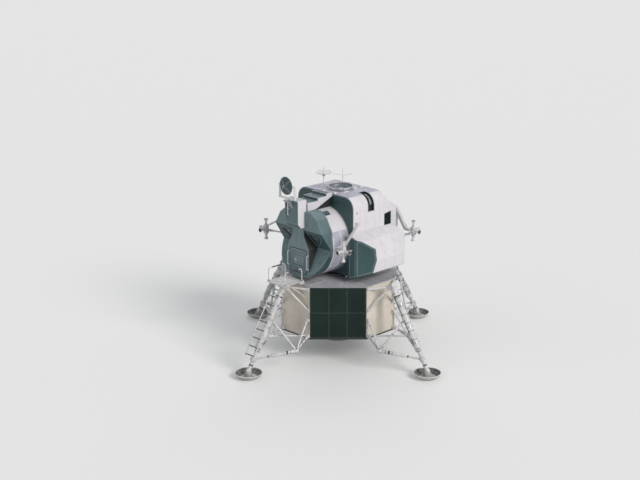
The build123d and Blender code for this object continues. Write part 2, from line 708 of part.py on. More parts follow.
def keel(inset):
    """Central section between the notches, wide round the hatch and narrow above it."""
    low, high = KEEL_HALF - inset, KEEL_TOP_HALF - inset
    points = [(-low, -1300), (low, -1300), (low, -100), (high, 350), (high, 1300),
              (-high, 1300), (-high, 350), (-low, -100)]
    return prism_y([(x, z + z_axis) for x, z in points], FACE_FRONT - 60, FACE_BACK + 60)


def window_prism(side, inset, y0, y1):
    points = [(side * x, z) for x, z in WINDOW]
    sketch = Polygon(*points, align=None)
    sketch = fillet(sketch.vertices(), 46)
    if inset:
        sketch = offset(sketch, amount=-inset)
    plane = Plane(origin=(0, y1, z_axis), x_dir=(1, 0, 0), z_dir=(0, -1, 0))
    return extrude(plane * sketch, amount=y1 - y0, dir=(0, -1, 0))


def cabin_face():
    """Front of the cabin: hollow, with the hatch opening and the two window openings."""
    outer = face_prism(0, FACE_FRONT, FACE_BACK) - (notch(0) - keel(0))
    inner = face_prism(WALL, FACE_FRONT + WALL, FACE_BACK - WALL)
    inner += cylinder_y(cabin_inner, FACE_BACK - WALL - 60, FACE_BACK + 20, z=z_axis)
    inner -= notch(WALL) - keel(WALL)
    shell = outer - inner
    hole = Pos(0, FACE_FRONT, hatch_z) * Box(HATCH, 300, HATCH)
    hole = fillet(hole.edges().filter_by(Axis.Y), HATCH_R)
    shell -= hole
    for side in (-1, 1):
        shell -= window_prism(side, 0, FACE_FRONT - 10, FACE_BACK + 10)
    return shell


def windows():
    panes = []
    slab = notch(24 + GLASS) - notch(24)
    for side in (-1, 1):
        pane = slab & window_prism(side, SEAT, FACE_FRONT - 10, FACE_BACK + 10)
        panes.append(pane.solids().sort_by(SortBy.VOLUME)[-1])
    return panes


# Hatches
def forward_hatch():
    """Square hatch that opens inward, with its two knuckles."""
    size = HATCH - 2 * SWING
    plate = Pos(0, FACE_FRONT + HATCH_THICK / 2, hatch_z) * Box(size, HATCH_THICK, size)
    plate = fillet(plate.edges().filter_by(Axis.Y), HATCH_R - SWING)
    for lift in HINGE_LIFTS:
        low, high = hatch_z + lift - 30, hatch_z + lift + 30
        plate += block(-400, -360, FACE_FRONT + HATCH_THICK - 5, hinge_y + 10, low, high)
        plate += block(HINGE_X, -365, hinge_y - 8, hinge_y + 10, low, high)
        plate += Pos(HINGE_X, hinge_y, hatch_z + lift) * Cylinder(HINGE_R, 60)
        plate -= Pos(HINGE_X, hinge_y, hatch_z + lift) * Cylinder(HINGE_PIN_R + GIMBAL_FIT, 90)
    return plate


def forward_hatch_hinges():
    """Fixed brackets with the hinge pins, on the inside of the face beside the hatch opening."""
    pieces = []
    wall = FACE_FRONT + WALL + SEAT
    for lift in HINGE_LIFTS:
        pin = Pos(HINGE_X, hinge_y, hatch_z + lift) * Cylinder(HINGE_PIN_R, 130)
        for side in (-1, 1):
            at = hatch_z + lift + side * 48
            pin += block(HINGE_X - 24, HINGE_X + 10, wall, hinge_y + 12, at - 14, at + 14)
        pieces.append(pin)
    return pieces


def docking_hatch():
    """Round overhead hatch that swings down into the cabin."""
    plate = Pos(0, DOCK_Y, z_top - WALL / 2) * Cylinder(DOCK_HATCH_R, WALL)
    plate += Pos(0, DOCK_Y, z_top - WALL - 9) * Cylinder(DOCK_HATCH_R - 60, 18)
    for x in (-110, 110):
        plate += block(x - 30, x + 30, DOCK_Y + 300, DOCK_Y + 366, z_top - WALL - 28, z_top - WALL)
        plate += block(x - 30, x + 30, DOCK_Y + 300, dock_hinge_y, dock_hinge_z - 11, dock_hinge_z + 11)
        knuckle = Plane(origin=(x - 30, dock_hinge_y, dock_hinge_z), z_dir=(1, 0, 0))
        plate += Solid.make_cylinder(HINGE_R, 60, knuckle)
        plate -= Solid.make_cylinder(HINGE_PIN_R + GIMBAL_FIT, 100, knuckle.offset(-20))
    return plate


def docking_hatch_hinges():
    pieces = []
    for x in (-110, 110):
        pin = rod((x - 66, dock_hinge_y, dock_hinge_z), (x + 66, dock_hinge_y, dock_hinge_z), HINGE_PIN_R)
        for side in (-1, 1):
            at = x + side * 48
            pin += block(at - 14, at + 14, dock_hinge_y - 12, dock_hinge_y + 26, dock_hinge_z - 12,
                         z_top - WALL - SEAT)
        pieces.append(pin)
    return pieces


def docking_collar():
    """Ring that takes the probe of another craft, with a sloped lip."""
    low, high = z_top + SEAT, z_top + COLLAR_HEIGHT
    outline = [(COLLAR_BORE, low), (COLLAR_OUTER, low), (COLLAR_OUTER, low + 24),
               (COLLAR_OUTER - 18, low + 34), (COLLAR_OUTER - 18, high - 12), (COLLAR_OUTER - 30, high),
               (COLLAR_BORE, high)]
    return Pos(0, DOCK_Y, 0) * turned_profile(outline)


# Cabin interior
def cabin_floor():
    """Flat floor with cross ribs that rest in the round cabin wall."""
    start, end = FACE_FRONT + WALL + 12, MID_FRONT + WALL + 6
    low = floor_top - FLOOR_THICK
    half = sqrt(cabin_inner ** 2 - (z_axis - low) ** 2) - 27
    floor = block(-half, half, start, end, low, floor_top)
    for y in RIBS:
        rib = block(-half, half, y - 14, y + 14, z_axis - CABIN_R, low + 1)
        floor += rib & cylinder_y(cabin_inner - SEAT, y - 20, y + 20, z=z_axis)
    return floor


def instrument_panel():
    """Main panel board across the cabin, with its side arms and two turned wings."""
    start = FACE_BACK + 8
    end = start + BOARD_THICK
    low, high = z_axis + BOARD_LOW, z_axis + BOARD_HIGH
    board = block(-BOARD_HALF, BOARD_HALF, start, end, low, high)
    board -= block(-90, 90, start - 8, end + 10, low - 10, low + 80)
    arms = block(-CABIN_R, CABIN_R, start + 7, end - 10, high - 90, high - 50)
    board += arms & cylinder_y(cabin_inner - SEAT, start + 4, end, z=z_axis)
    for side in (-1, 1):
        wing = Pos(side * (BOARD_HALF + 90), start + 92, low + 150)
        board += wing * Rot(0, 0, side * 38) * Box(250, 40, 300)
    return board


def engine_cover():
    """Drum over the ascent engine, standing on the midsection floor."""
    low = z_stage + WALL + SEAT
    drum = Pos(0, 0, low + COVER_TALL / 2) * Cylinder(COVER_R, COVER_TALL)
    drum = fillet(drum.edges().group_by(Axis.Z)[-1], 80)
    inner = COVER_TALL - COVER_WALL
    hollow = Pos(0, 0, low + inner / 2 - 10) * Cylinder(COVER_R - COVER_WALL, inner + 20)
    hollow = fillet(hollow.edges().group_by(Axis.Z)[-1], 80 - COVER_WALL)
    return drum - hollow


def ascent_engine():
    """Fixed engine: flange over the floor, chamber and bell over the blast well."""
    exit_z, throat_z = z_deck - ASCENT_EXIT_DROP, z_stage - 10
    throat, chamber_r = ASCENT_THROAT_R, ASCENT_CHAMBER_R
    nozzle = bell(ASCENT_BELL_R, throat, exit_z, throat_z, 12, 10)
    outline = [(throat, throat_z - 20), (throat + 25, throat_z - 20), (chamber_r, throat_z + 30),
               (chamber_r, z_stage + 190), (chamber_r - 50, z_stage + 240), (0, z_stage + 240),
               (0, z_stage + 200), (chamber_r - 70, z_stage + 200), (chamber_r - 30, z_stage + 170),
               (chamber_r - 30, throat_z + 60), (throat, throat_z + 10)]
    flange = Cylinder(ENGINE_HOLE_R + 76, 20) - Cylinder(chamber_r - 10, 30)
    return nozzle + turned_profile(outline) + Pos(0, 0, z_stage + WALL + SEAT + 10) * flange


# Ascent stage outside
def tank_bay(outer):
    """Faceted bay beside the midsection for the port side, widest at outer."""
    side = MID_HALF + SEAT
    front_view = [(side, 400), (outer - 350, 230), (outer - 30, -20), (outer, -420),
                  (outer - 90, -880), (side, -CABIN_R)]
    plan = [(side, TANK_FRONT), (side + 350, TANK_FRONT), (outer, TANK_FRONT + 500),
            (outer, TANK_BACK - 300), (outer - 260, TANK_BACK), (side, TANK_BACK)]
    shape = prism_y([(x, rise + z_axis) for x, rise in front_view], TANK_FRONT - 50, TANK_BACK + 50)
    return shape & prism_z(plan, z_stage - 10, z_axis + 500)


def aft_bay():
    """Equipment bay: a roof that slopes down behind the midsection to an upright rack."""
    start = MID_BACK + SEAT
    corner = z_top - BAY_CORNER_DROP
    low = z_stage + BAY_FLOOR_RISE
    points = [(start, z_top - BAY_ROOF_DROP), (BAY_BACK, corner), (BAY_BACK, low), (BAY_RACK, low),
              (BAY_RACK, corner - 70), (start, z_top - BAY_EAVE_DROP)]
    bay = prism_x(points, -BAY_HALF, BAY_HALF)
    return chamfer(bay.edges().filter_by(Axis.Z).group_by(Axis.Y)[-1], 30)


def pressure_tanks():
    """Two round tanks between the midsection and the rack, on stubs from the rack."""
    pieces = []
    y = (MID_BACK + BAY_RACK) / 2
    wall = BAY_RACK - SEAT
    z = z_axis + PRESSURE_TANK_RISE
    for x in (-PRESSURE_TANK_X, PRESSURE_TANK_X):
        tank = Pos(x, y, z) * Sphere(PRESSURE_TANK_R)
        tank += rod((x, y, z), (x, wall, z), 58)
        tank += rod((x, wall - 26, z), (x, wall, z), 110)
        pieces.append(tank)
    return pieces


def bay_struts():
    """Crossed struts that carry the rack on the midsection's rear wall."""
    pieces = []
    start, end = MID_BACK + SEAT, BAY_RACK - SEAT
    ends = [block(-BAY_HALF, BAY_HALF, start - 300, start, z_stage, z_top),
            block(-BAY_HALF, BAY_HALF, end, end + 300, z_stage, z_top)]
    outer = BAY_HALF - RACK_STRUT_IN
    for side in (-1, 1):
        for x, low, high in ((outer - 75, -620, -260), (outer, -260, -620)):
            front, back = (side * x, start - 60, z_axis + low), (side * x, end + 60, z_axis + high)
            pieces.append(fitted(rod(front, back, RACK_STRUT_R), ends))
    return pieces


def spine_underside(y):
    """Height of the spine's underside over the cabin's axis."""
    share = max(0.0, (y - SPINE_LEAN_Y) / (MID_FRONT - SPINE_LEAN_Y))
    return brow_top + SEAT + share * (roof_rise - SPINE_EDGE - brow_top)


def spine_fairing():
    """Stepped fairing over the cabin, its underside rising to the rear."""
    start, end = SPINE_STEPS[0][0], MID_FRONT - SEAT
    ends = [y for y, rise in SPINE_STEPS[1:]] + [SPINE_END]
    outline = []
    for (y, over), step_end in zip(SPINE_STEPS, ends):
        outline += [(y, brow_top + over), (step_end, brow_top + over)]
    outline += [(end, roof_rise), (end, spine_underside(end)), (SPINE_LEAN_Y, spine_underside(SPINE_LEAN_Y)),
                (start, spine_underside(start))]
    return prism_x([(y, rise + z_axis) for y, rise in outline], -SPINE_HALF, SPINE_HALF)


def spine_core():
    """Dark body of the spine, between the fairing and the round cabin roof."""
    start, end = FACE_BACK + SEAT, MID_FRONT - SEAT
    low = CABIN_R - 120
    outline = [(start, low), (end, low), (end, spine_underside(end) - SEAT),
               (start, spine_underside(start) - SEAT)]
    core = prism_x([(y, rise + z_axis) for y, rise in outline], -250, 250)
    return core - cylinder_y(CABIN_R + SEAT, FACE_BACK - 100, MID_FRONT + 100, z=z_axis)


def nose_box():
    """Slab-fronted box on the brow, with an upright slot in its front."""
    brow = z_axis + brow_top
    box = block(-NOSE_HALF, NOSE_HALF, NOSE_FRONT, FACE_FRONT - SEAT, brow - NOSE_DROP, nose_top)
    box += block(-NOSE_HALF, NOSE_HALF, FACE_FRONT - 50, SPINE_STEPS[0][0] - SEAT, brow + SEAT, nose_top)
    box = chamfer(box.edges().filter_by(Axis.X).group_by(Axis.Z)[0].group_by(Axis.Y)[0], 150)
    (left, right), (high, low), deep = NOSE_SLOT
    return box - block(left, right, NOSE_FRONT - 10, NOSE_FRONT + deep, nose_top - low, nose_top - high)


# Rendezvous radar
def radar_mount():
    """Bracket on the nose with the upright post that the fork turns on."""
    low = nose_top + SEAT
    mount = block(-120, 120, radar_y - 110, NOSE_FRONT + 170, low, low + 42)
    mount = chamfer(mount.edges().filter_by(Axis.Z), 24)
    wall = NOSE_FRONT - SEAT
    gusset = [(wall, low - 260), (wall - 140, low), (wall - 140, low + 10), (wall, low + 10)]
    mount += prism_x(gusset, -90, 90)
    return mount + Pos(0, radar_y, low + 42) * Cylinder(RADAR_POST_R, 84)


def radar_yoke():
    """Fork that turns on the post, with the two pins that the dish tilts on."""
    low = nose_top + 42 + SWING
    hub = Pos(0, radar_y, low + 22) * Cylinder(72, 44)
    bar = block(-FORK_HALF, FORK_HALF, radar_y - 34, radar_y + 34, low + 44, low + 96)
    yoke = hub + bar
    for side in (-1, 1):
        x0, x1 = sorted((side * (FORK_HALF - 2), side * (FORK_HALF + 34)))
        yoke += block(x0, x1, radar_y - 34, radar_y + 34, low + 44, radar_z)
        yoke += Solid.make_cylinder(42, 36, Plane(origin=(x0, radar_y, radar_z), z_dir=(1, 0, 0)))
        yoke += rod((side * (FORK_HALF + 10), radar_y, radar_z), (side * (FORK_HALF - 40), radar_y, radar_z),
                    RADAR_PIN_R)
    yoke += Pos(0, radar_y + 62, low + 58) * Box(150, 70, 60)
    return yoke - Pos(0, radar_y, low) * Cylinder(RADAR_POST_R + GIMBAL_FIT, 96)


def dish_profile(grow, steps=10):
    """Half profile of the dish as (radius, distance behind the tilt axis) points."""
    points = []
    for n in range(steps + 1):
        r = RADAR_R * n / steps
        points.append((r, DISH_BACK + grow - DISH_DEPTH * (n / steps) ** 2))
    return points


def radar_dish():
    """Parabolic dish facing forward, its hub behind it, and trunnions with bores for the pins."""
    dish = turned_profile(dish_profile(-DISH_WALL / 2) + dish_profile(DISH_WALL / 2)[::-1], Axis.Y)
    dish += cylinder_y(66, DISH_BACK - 4, DISH_BACK + 80)
    rim = cylinder_y(RADAR_R + 5, DISH_BACK - DISH_DEPTH - 8, DISH_BACK - DISH_DEPTH + 10)
    dish += rim - cylinder_y(RADAR_R - 6, -200, 200)
    bowl = turned_profile([(0, -400), (RADAR_R, -400)] + dish_profile(-DISH_WALL / 2)[::-1], Axis.Y)
    for side in (-1, 1):
        stub = rod((side * 190, 0, 0), (side * (FORK_HALF - 8), 0, 0), RADAR_PIN_R + 12)
        dish += stub - bowl
        bore = rod((side * (FORK_HALF - 46), 0, 0), (side * (FORK_HALF + 20), 0, 0), RADAR_PIN_R + GIMBAL_FIT)
        dish -= bore
    return Pos(0, radar_y, radar_z) * dish


def radar_feed():
    """Feed horn on four thin legs that stand on the rim."""
    focus = -150.0
    horn = cylinder_y(26, focus - 40, focus + 6) + cylinder_y(38, focus - 52, focus - 34)
    rim_y = DISH_BACK - DISH_DEPTH - 8 - SEAT
    clears = [cylinder_y(26 + SEAT, focus - 60, focus + 20), block(-400, 400, rim_y, 200, -400, 400)]
    pieces = [horn]
    for n in range(4):
        angle = radians(45 + 90 * n)
        a = (10 * cos(angle), focus - 14, 10 * sin(angle))
        b = (RADAR_R * cos(angle), rim_y + 4, RADAR_R * sin(angle))
        pieces.append(fitted(rod(a, b, 6.5, 0, -10), clears))
    return [Pos(0, radar_y, radar_z) * piece for piece in pieces]


# Antennas on the top deck
def discone_antenna():
    """Mast, a small cone, a dished disc and a rod, one on the other."""
    base = z_top + SEAT
    cone, disc, tip = base + 250 + SEAT, base + 346, base + 660
    top = disc + 24
    mast = [(0, base), (46, base), (46, base + 16), (15, base + 34), (15, base + 250), (0, base + 250)]
    neck = [(0, cone), (60, cone + 12), (15, disc - SEAT), (0, disc - SEAT)]
    dish = [(0, disc), (120, disc + 6), (262, disc + 26), (280, disc + 54), (270, disc + 58),
            (120, disc + 30), (20, top), (0, top)]
    point = [(0, top + SEAT), (16, top + SEAT), (9, tip - 6), (0, tip)]
    return [Pos(-930, 220, 0) * turned_profile(outline) for outline in (mast, neck, dish, point)]


def turnstile_antenna():
    """Mast with two crossed pairs of arms, bent up at their ends."""
    base = z_top + SEAT
    mast = [(0, base), (42, base), (42, base + 14), (13, base + 30), (13, base + 236), (22, base + 240),
            (22, base + 262), (13, base + 268), (7, base + 520), (0, base + 524)]
    pieces = [turned_profile(mast)]
    for n in range(4):
        angle = radians(45 + 90 * n)
        tip = (330 * cos(angle), 330 * sin(angle), base + 300)
        arm = rod((0, 0, base + 250), tip, 9) + Pos(*tip) * Sphere(13)
        pieces.append(arm - Pos(0, 0, base + 250) * Cylinder(22 + SEAT, 60))
    return [Pos(-550, 790, 0) * piece for piece in pieces]


# Reaction thrusters
def thruster(way, start):
    """Chamber and open bell along way, beginning at start from the cluster's centre."""
    chamber_r, exit_r, throat_r = THRUSTER_CHAMBER_R, THRUSTER_EXIT_R, THRUSTER_THROAT_R
    throat = start + 0.42 * THRUSTER
    flare = start + 0.65 * THRUSTER
    rim = start + THRUSTER
    shape = turned_profile([(0, start), (chamber_r, start), (chamber_r, throat - 24), (throat_r + 8, throat),
                            (exit_r * 0.72, flare), (exit_r, rim), (exit_r - 5, rim),
                            (exit_r * 0.72 - 6, flare + 2), (throat_r, throat + 4), (throat_r, throat - 6),
                            (0, throat - 16)])
    return Plane(origin=(0, 0, 0), z_dir=way) * shape


def rcs_place(side, fore):
    """Centre of a cluster. side is 1 to port, and fore is 1 at the rear."""
    return (side * RCS_X, RCS_AFT if fore > 0 else RCS_FRONT, rcs_z)


def rcs_cluster(side, fore):
    """Housing with four thrusters: up, down, sideways and fore or aft."""
    housing = Box(2 * RCS_HALF, 2 * RCS_HALF, RCS_TALL)
    housing = chamfer(housing.edges().filter_by(Axis.Z), 26)
    pieces = [housing]
    pieces.append(thruster((0, 0, 1), RCS_TALL / 2 + SEAT))
    pieces.append(thruster((0, 0, -1), RCS_TALL / 2 + SEAT))
    pieces.append(thruster((side, 0, 0), RCS_HALF + SEAT))
    pieces.append(thruster((0, fore, 0), RCS_HALF + SEAT))
    return [Pos(*rcs_place(side, fore)) * piece for piece in pieces]


def cluster_room(side, fore):
    """Space of a cluster's housing, with its clearance."""
    size = 2 * (RCS_HALF + SEAT)
    return Pos(*rcs_place(side, fore)) * Box(size, size, RCS_TALL + 2 * SEAT)


def tank_room():
    """Space between the ends of the tank bays, with its clearance."""
    return block(-TANK_PORT, TANK_PORT, TANK_FRONT - SEAT, TANK_BACK + SEAT, z_stage, z_axis + 500)


def front_boom(side):
    """Flat beam from the midsection's edge and two round struts to a front cluster."""
    x, y, z = rcs_place(side, -1)
    housing = cluster_room(side, -1)
    root = (side * (MID_HALF + 60), MID_FRONT + 190, z_axis + BOOM_RISE)
    near, far = sorted((side * (MID_HALF + SEAT), side * (MID_HALF + 96)))
    seat = block(near, far, root[1] - 90, root[1] + 60, root[2] - 60, root[2] + 52)
    arm = seat + fitted(beam(root, (x - side * 30, y + 30, z + 110), 90, 30), [housing])
    barrel = cylinder_y(CABIN_R + SEAT, FACE_BACK, MID_FRONT, z=z_axis)
    on_tank = (side * (MID_HALF + 130), TANK_FRONT + 50, z_axis - 120)
    low = rod(on_tank, (x - side * 10, y + 40, z - 70), BOOM_R)
    inner = rod((side * (CABIN_R - 30), -1200, z_axis - 40), (x - side * 40, y + 30, z - 10), BOOM_R)
    return [arm, fitted(low, [housing, tank_room()]), fitted(inner, [housing, barrel])]


def aft_boom(side):
    """Bent arm from the bay's corner and two round struts to a rear cluster."""
    x, y, z = rcs_place(side, 1)
    housing = cluster_room(side, 1)
    root, tip = BAY_HALF + SEAT, RCS_X - RCS_HALF - SEAT
    corner = z_top - BAY_CORNER_DROP
    outline = [(root, corner - 20), (tip - 185, z + 90), (tip, z + 60), (tip, z - 20), (tip - 250, z - 5),
               (root, corner - 230)]
    arm = prism_y([(side * u, w) for u, w in outline], BAY_BACK - 130, BAY_BACK - 30)
    rack = block(-root, root, BAY_RACK, BAY_BACK, z_stage, z_axis + 500)
    on_tank = (side * (MID_HALF + 170), TANK_BACK - 50, z_axis - 160)
    on_rack = (side * (BAY_HALF - 50), BAY_BACK - 200, z_axis - 230)
    low = rod(on_tank, (x - side * 10, y - 40, z - 90), BOOM_R)
    inner = rod(on_rack, (x - side * 40, y - 30, z - 70), BOOM_R)
    return [arm, fitted(low, [housing, tank_room()]), fitted(inner, [housing, rack])]


def rcs_booms():
    return [piece for side in (-1, 1) for piece in front_boom(side) + aft_boom(side)]


if __name__ == "__main__":
    save("descent_core", descent_core())
    save("upper_deck", upper_deck())
    save("blast_deflector", blast_deflector())
    save("base_heat_shield", base_heat_shield())
    quadrants, bays = body_panels()
    save("quadrant_panels", *quadrants)
    save("leg_bay_panels", *bays)
    truss = gear_truss()
    for name, quarter in LEGS.items():
        save(f"primary_strut_{name}", turned(primary_strut(), quarter))
        save(f"gear_truss_{name}", *[turned(s, quarter) for s in truss])
        save(f"footpad_{name}", turned(footpad(), quarter))
    save("outriggers", *[turned(s, q) for q in LEGS.values() for s in outrigger()])
    save("engine_mount", *engine_mount())
    save("gimbal_ring", gimbal_ring())
    save("descent_engine", descent_engine())
    save("porch", *porch())
    save("porch_handrails", *porch_handrails())
    save("ladder", *ladder())
    save("interstage_fittings", *interstage_fittings())
    save("midsection_shell", midsection_shell())
    save("recess_bar", recess_bar())
    save("cabin_barrel", cabin_barrel())
    save("docking_window", docking_window())
    save("cabin_face", cabin_face())
    save("windows", *windows())
    save("forward_hatch", forward_hatch())
    save("docking_hatch", docking_hatch())
    save("hatch_hinges", *forward_hatch_hinges(), *docking_hatch_hinges())
    save("docking_collar", docking_collar())
    save("cabin_floor", cabin_floor())
    save("instrument_panel", instrument_panel())
    save("engine_cover", engine_cover())
    save("ascent_engine", ascent_engine())
    save("tank_bay_port", tank_bay(TANK_PORT))
    save("tank_bay_starboard", mirror(tank_bay(TANK_STARBOARD), about=Plane.YZ))
    save("aft_bay", aft_bay())
    save("pressure_tanks", *pressure_tanks())
    save("bay_struts", *bay_struts())
    save("spine_fairing", spine_fairing())
    save("spine_core", spine_core())
    save("nose_box", nose_box())
    save("radar_mount", radar_mount())
    save("radar_yoke", radar_yoke())
    save("radar_dish", radar_dish())
    save("radar_feed", *radar_feed())
    save("discone_antenna", *discone_antenna())
    save("turnstile_antenna", *turnstile_antenna())
    for name, side, fore in (("front_port", 1, -1), ("front_starboard", -1, -1),
                             ("aft_port", 1, 1), ("aft_starboard", -1, 1)):
        save(f"rcs_cluster_{name}", *rcs_cluster(side, fore))
    save("rcs_booms", *rcs_booms())
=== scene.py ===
"""Looks of a two-stage lunar lander on its gear. Metres, +Z up, ladder leg to -Y, port side to +X.

Every solid of the frame gets a finished skin with softened edges. The small things that cover a lander are
added as surfaces worked out in arrays: crumpled foil, battens, rivet rows, straps, clamps, bells, dish and
dials.
"""
import json
from itertools import product
from math import cos, radians, sin, sqrt

import bmesh
import bpy
import numpy as np
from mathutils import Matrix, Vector


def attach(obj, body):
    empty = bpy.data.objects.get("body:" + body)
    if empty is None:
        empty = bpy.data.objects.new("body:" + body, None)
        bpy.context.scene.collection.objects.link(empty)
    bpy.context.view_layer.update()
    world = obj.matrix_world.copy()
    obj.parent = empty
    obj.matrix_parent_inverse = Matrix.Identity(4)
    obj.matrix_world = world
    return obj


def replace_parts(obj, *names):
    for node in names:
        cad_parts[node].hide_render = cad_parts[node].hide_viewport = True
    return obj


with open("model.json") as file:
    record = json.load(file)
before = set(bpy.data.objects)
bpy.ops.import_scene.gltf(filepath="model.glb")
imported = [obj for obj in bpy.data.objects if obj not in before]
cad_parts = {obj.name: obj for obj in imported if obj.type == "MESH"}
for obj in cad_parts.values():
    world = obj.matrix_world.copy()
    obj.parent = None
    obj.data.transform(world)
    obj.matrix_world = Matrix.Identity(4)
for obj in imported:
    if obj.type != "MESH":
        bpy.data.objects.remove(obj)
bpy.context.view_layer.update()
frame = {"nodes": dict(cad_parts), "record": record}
nodes = frame["nodes"]
slot_of_node = {row["node"]: row["material_slot"] for row in frame["record"]["subparts"]}
body_of_node = {n: b for b, group in frame["record"]["behaviour"]["bodies"].items() for n in group}

# Levels and widths of the lander
BODY_LOW = 0.95
DECK = 2.85
LEG_FACE = 2.06
LEG_FACE_HALF = 0.70
SLANT_FACE = (LEG_FACE + LEG_FACE_HALF) / sqrt(2)
STAGE_LOW = 2.98
AXIS = 4.15
ROOF = 5.75
CABIN_R = 1.17
MID_HALF = 1.35
MID_FRONT = -0.62
MID_BACK = 0.90
EDGE_R = 0.40
BAY_TOP = 4.57
FACE_FRONT = -1.90
FACE_BACK = -1.40
STRUT_TOP = (2.64, 2.76)
STRUT_FOOT = (4.23, 0.225)
STRUT_R = 0.105
PISTON_R = 0.072
KNEE = np.array([0.78, -2.76, 0.76])
DOCK_Y = 0.14
GIMBAL = 1.79
NOSE_FRONT = -2.20
NOSE_TOP = 5.75
DISH = (-2.37, 6.29)
RCS_X = 1.90
RCS_Y = (-1.65, 1.80)
RCS_Z = 4.27

# Directions, and the bodies that most pieces ride on
UP, DOWN = np.array([0, 0, 1.0]), np.array([0, 0, -1.0])
FRONT, AFT = np.array([0, -1.0, 0]), np.array([0, 1.0, 0])
SIDES = (-1, 1)
FLIPS = (1, -1)
QUARTERS = (0, 1, 2, 3)
BASE = "descent_stage"
STAGE = "ascent_stage"


# Nodes of materials and of the world
class Wiring:
    """Short calls for placing and linking nodes in one tree. A term is a number, a colour or an output."""

    def __init__(self, tree):
        self.tree = tree

    def node(self, kind, **settings):
        made = self.tree.nodes.new(kind)
        for key, value in settings.items():
            setattr(made, key, value)
        return made

    def feed(self, node, terms):
        """Gives inputs of a node, named or numbered, their terms."""
        for key, term in terms.items():
            socket = node.inputs[key]
            if isinstance(term, (int, float)):
                socket.default_value = term
            elif isinstance(term, tuple):
                socket.default_value = (*term, 1.0) if socket.type == "RGBA" else term
            else:
                self.tree.links.new(term, socket)
        return node.outputs

    def value(self, operation, a, b, clamp=False):
        """Output of a math node on two terms."""
        return self.feed(self.node("ShaderNodeMath", operation=operation, use_clamp=clamp), {0: a, 1: b})[0]

    def blend(self, share, a, b):
        """Output of a colour mix of a and b by share."""
        return self.feed(self.node("ShaderNodeMix", data_type="RGBA"), {0: share, 6: a, 7: b})[2]

    def noise(self, place, scale, detail=3.0, roughness=0.55):
        terms = {"Vector": place, "Scale": scale, "Detail": detail, "Roughness": roughness}
        return self.feed(self.node("ShaderNodeTexNoise"), terms)["Fac"]

    def steps(self, term, low, high):
        """Output of a smooth step from 0 at low to 1 at high."""
        made = self.node("ShaderNodeMapRange", interpolation_type="SMOOTHSTEP")
        return self.feed(made, {"Value": term, "From Min": low, "From Max": high})["Result"]

    def group(self, name, terms):
        """Outputs of one of the shared groups."""
        return self.feed(self.node("ShaderNodeGroup", node_tree=groups[name]), terms)


# Camera, light and floor
PHOTO_W = 640
PHOTO_H = 480
VIEW_AZIMUTH = radians(45.0)
VIEW_ELEVATION = radians(16.5)
VIEW_DISTANCE = 45.0
VIEW_TARGET = Vector((0.0, 0.0, 4.0))
PIXELS_PER_METRE = 28.7
TARGET_PIXEL = (338.0, 237.5)
WORLD_TONE = (0.86, 0.88, 0.92)
SEEN_TONE = (0.90, 0.90, 0.89)
FLOOR_R = 400.0


def make_camera():
    """Camera on the line of sight of the photograph, its lens worked out from the scale at the target."""
    data = bpy.data.cameras.new("camera")
    data.sensor_width = 36.0
    data.lens = PIXELS_PER_METRE * VIEW_DISTANCE * data.sensor_width / PHOTO_W
    data.clip_end = 500.0
    data.shift_x = -(TARGET_PIXEL[0] - PHOTO_W / 2) / PHOTO_W
    data.shift_y = (TARGET_PIXEL[1] - PHOTO_H / 2) / PHOTO_W
    camera = bpy.data.objects.new("camera", data)
    level = cos(VIEW_ELEVATION)
    way = Vector((sin(VIEW_AZIMUTH) * level, -cos(VIEW_AZIMUTH) * level, sin(VIEW_ELEVATION)))
    camera.location = VIEW_TARGET + way * VIEW_DISTANCE
    camera.rotation_euler = (-way).to_track_quat("-Z", "Y").to_euler()
    bpy.context.scene.collection.objects.link(camera)
    bpy.context.scene.camera = camera


def make_lamp(name, way, spread, power, tint):
    """Even, soft light from far away. way points from the lander to the lamp, spread is in degrees."""
    data = bpy.data.lights.new(name, "SUN")
    data.angle = radians(spread)
    data.energy = power
    data.color = tint
    lamp = bpy.data.objects.new(name, data)
    lamp.rotation_euler = Vector(way).to_track_quat("Z", "Y").to_euler()
    bpy.context.scene.collection.objects.link(lamp)


def make_light():
    """Soft key from the port side, as in the photograph, weak light from the front, and a pale world.

    The camera and the panes see a brighter world than the one that lights, and shiny faces see a mix of both.
    """
    make_lamp("key", (1.0, 0.02, 0.62), 24.0, 2.0, (1.0, 0.985, 0.96))
    make_lamp("front_fill", (-0.35, -1.0, 0.45), 60.0, 0.42, (0.94, 0.97, 1.0))
    make_lamp("back_fill", (-0.8, 0.9, 0.7), 60.0, 0.6, (1.0, 1.0, 1.0))
    world = bpy.data.worlds.new("studio")
    bpy.context.scene.world = world
    world.use_nodes = True
    w = Wiring(world.node_tree)
    lit = w.feed(world.node_tree.nodes["Background"], {"Color": WORLD_TONE, "Strength": 0.40})[0]
    seen = w.feed(w.node("ShaderNodeBackground"), {"Color": SEEN_TONE, "Strength": 1.0})[0]
    ray = w.node("ShaderNodeLightPath").outputs
    share = w.value("MAXIMUM", ray["Is Camera Ray"], w.value("MULTIPLY", ray["Is Glossy Ray"], 0.55))
    share = w.value("MAXIMUM", share, ray["Is Transmission Ray"])
    mix = w.feed(w.node("ShaderNodeMixShader"), {"Fac": share, 1: lit, 2: seen})[0]
    w.feed(world.node_tree.nodes["World Output"], {"Surface": mix})


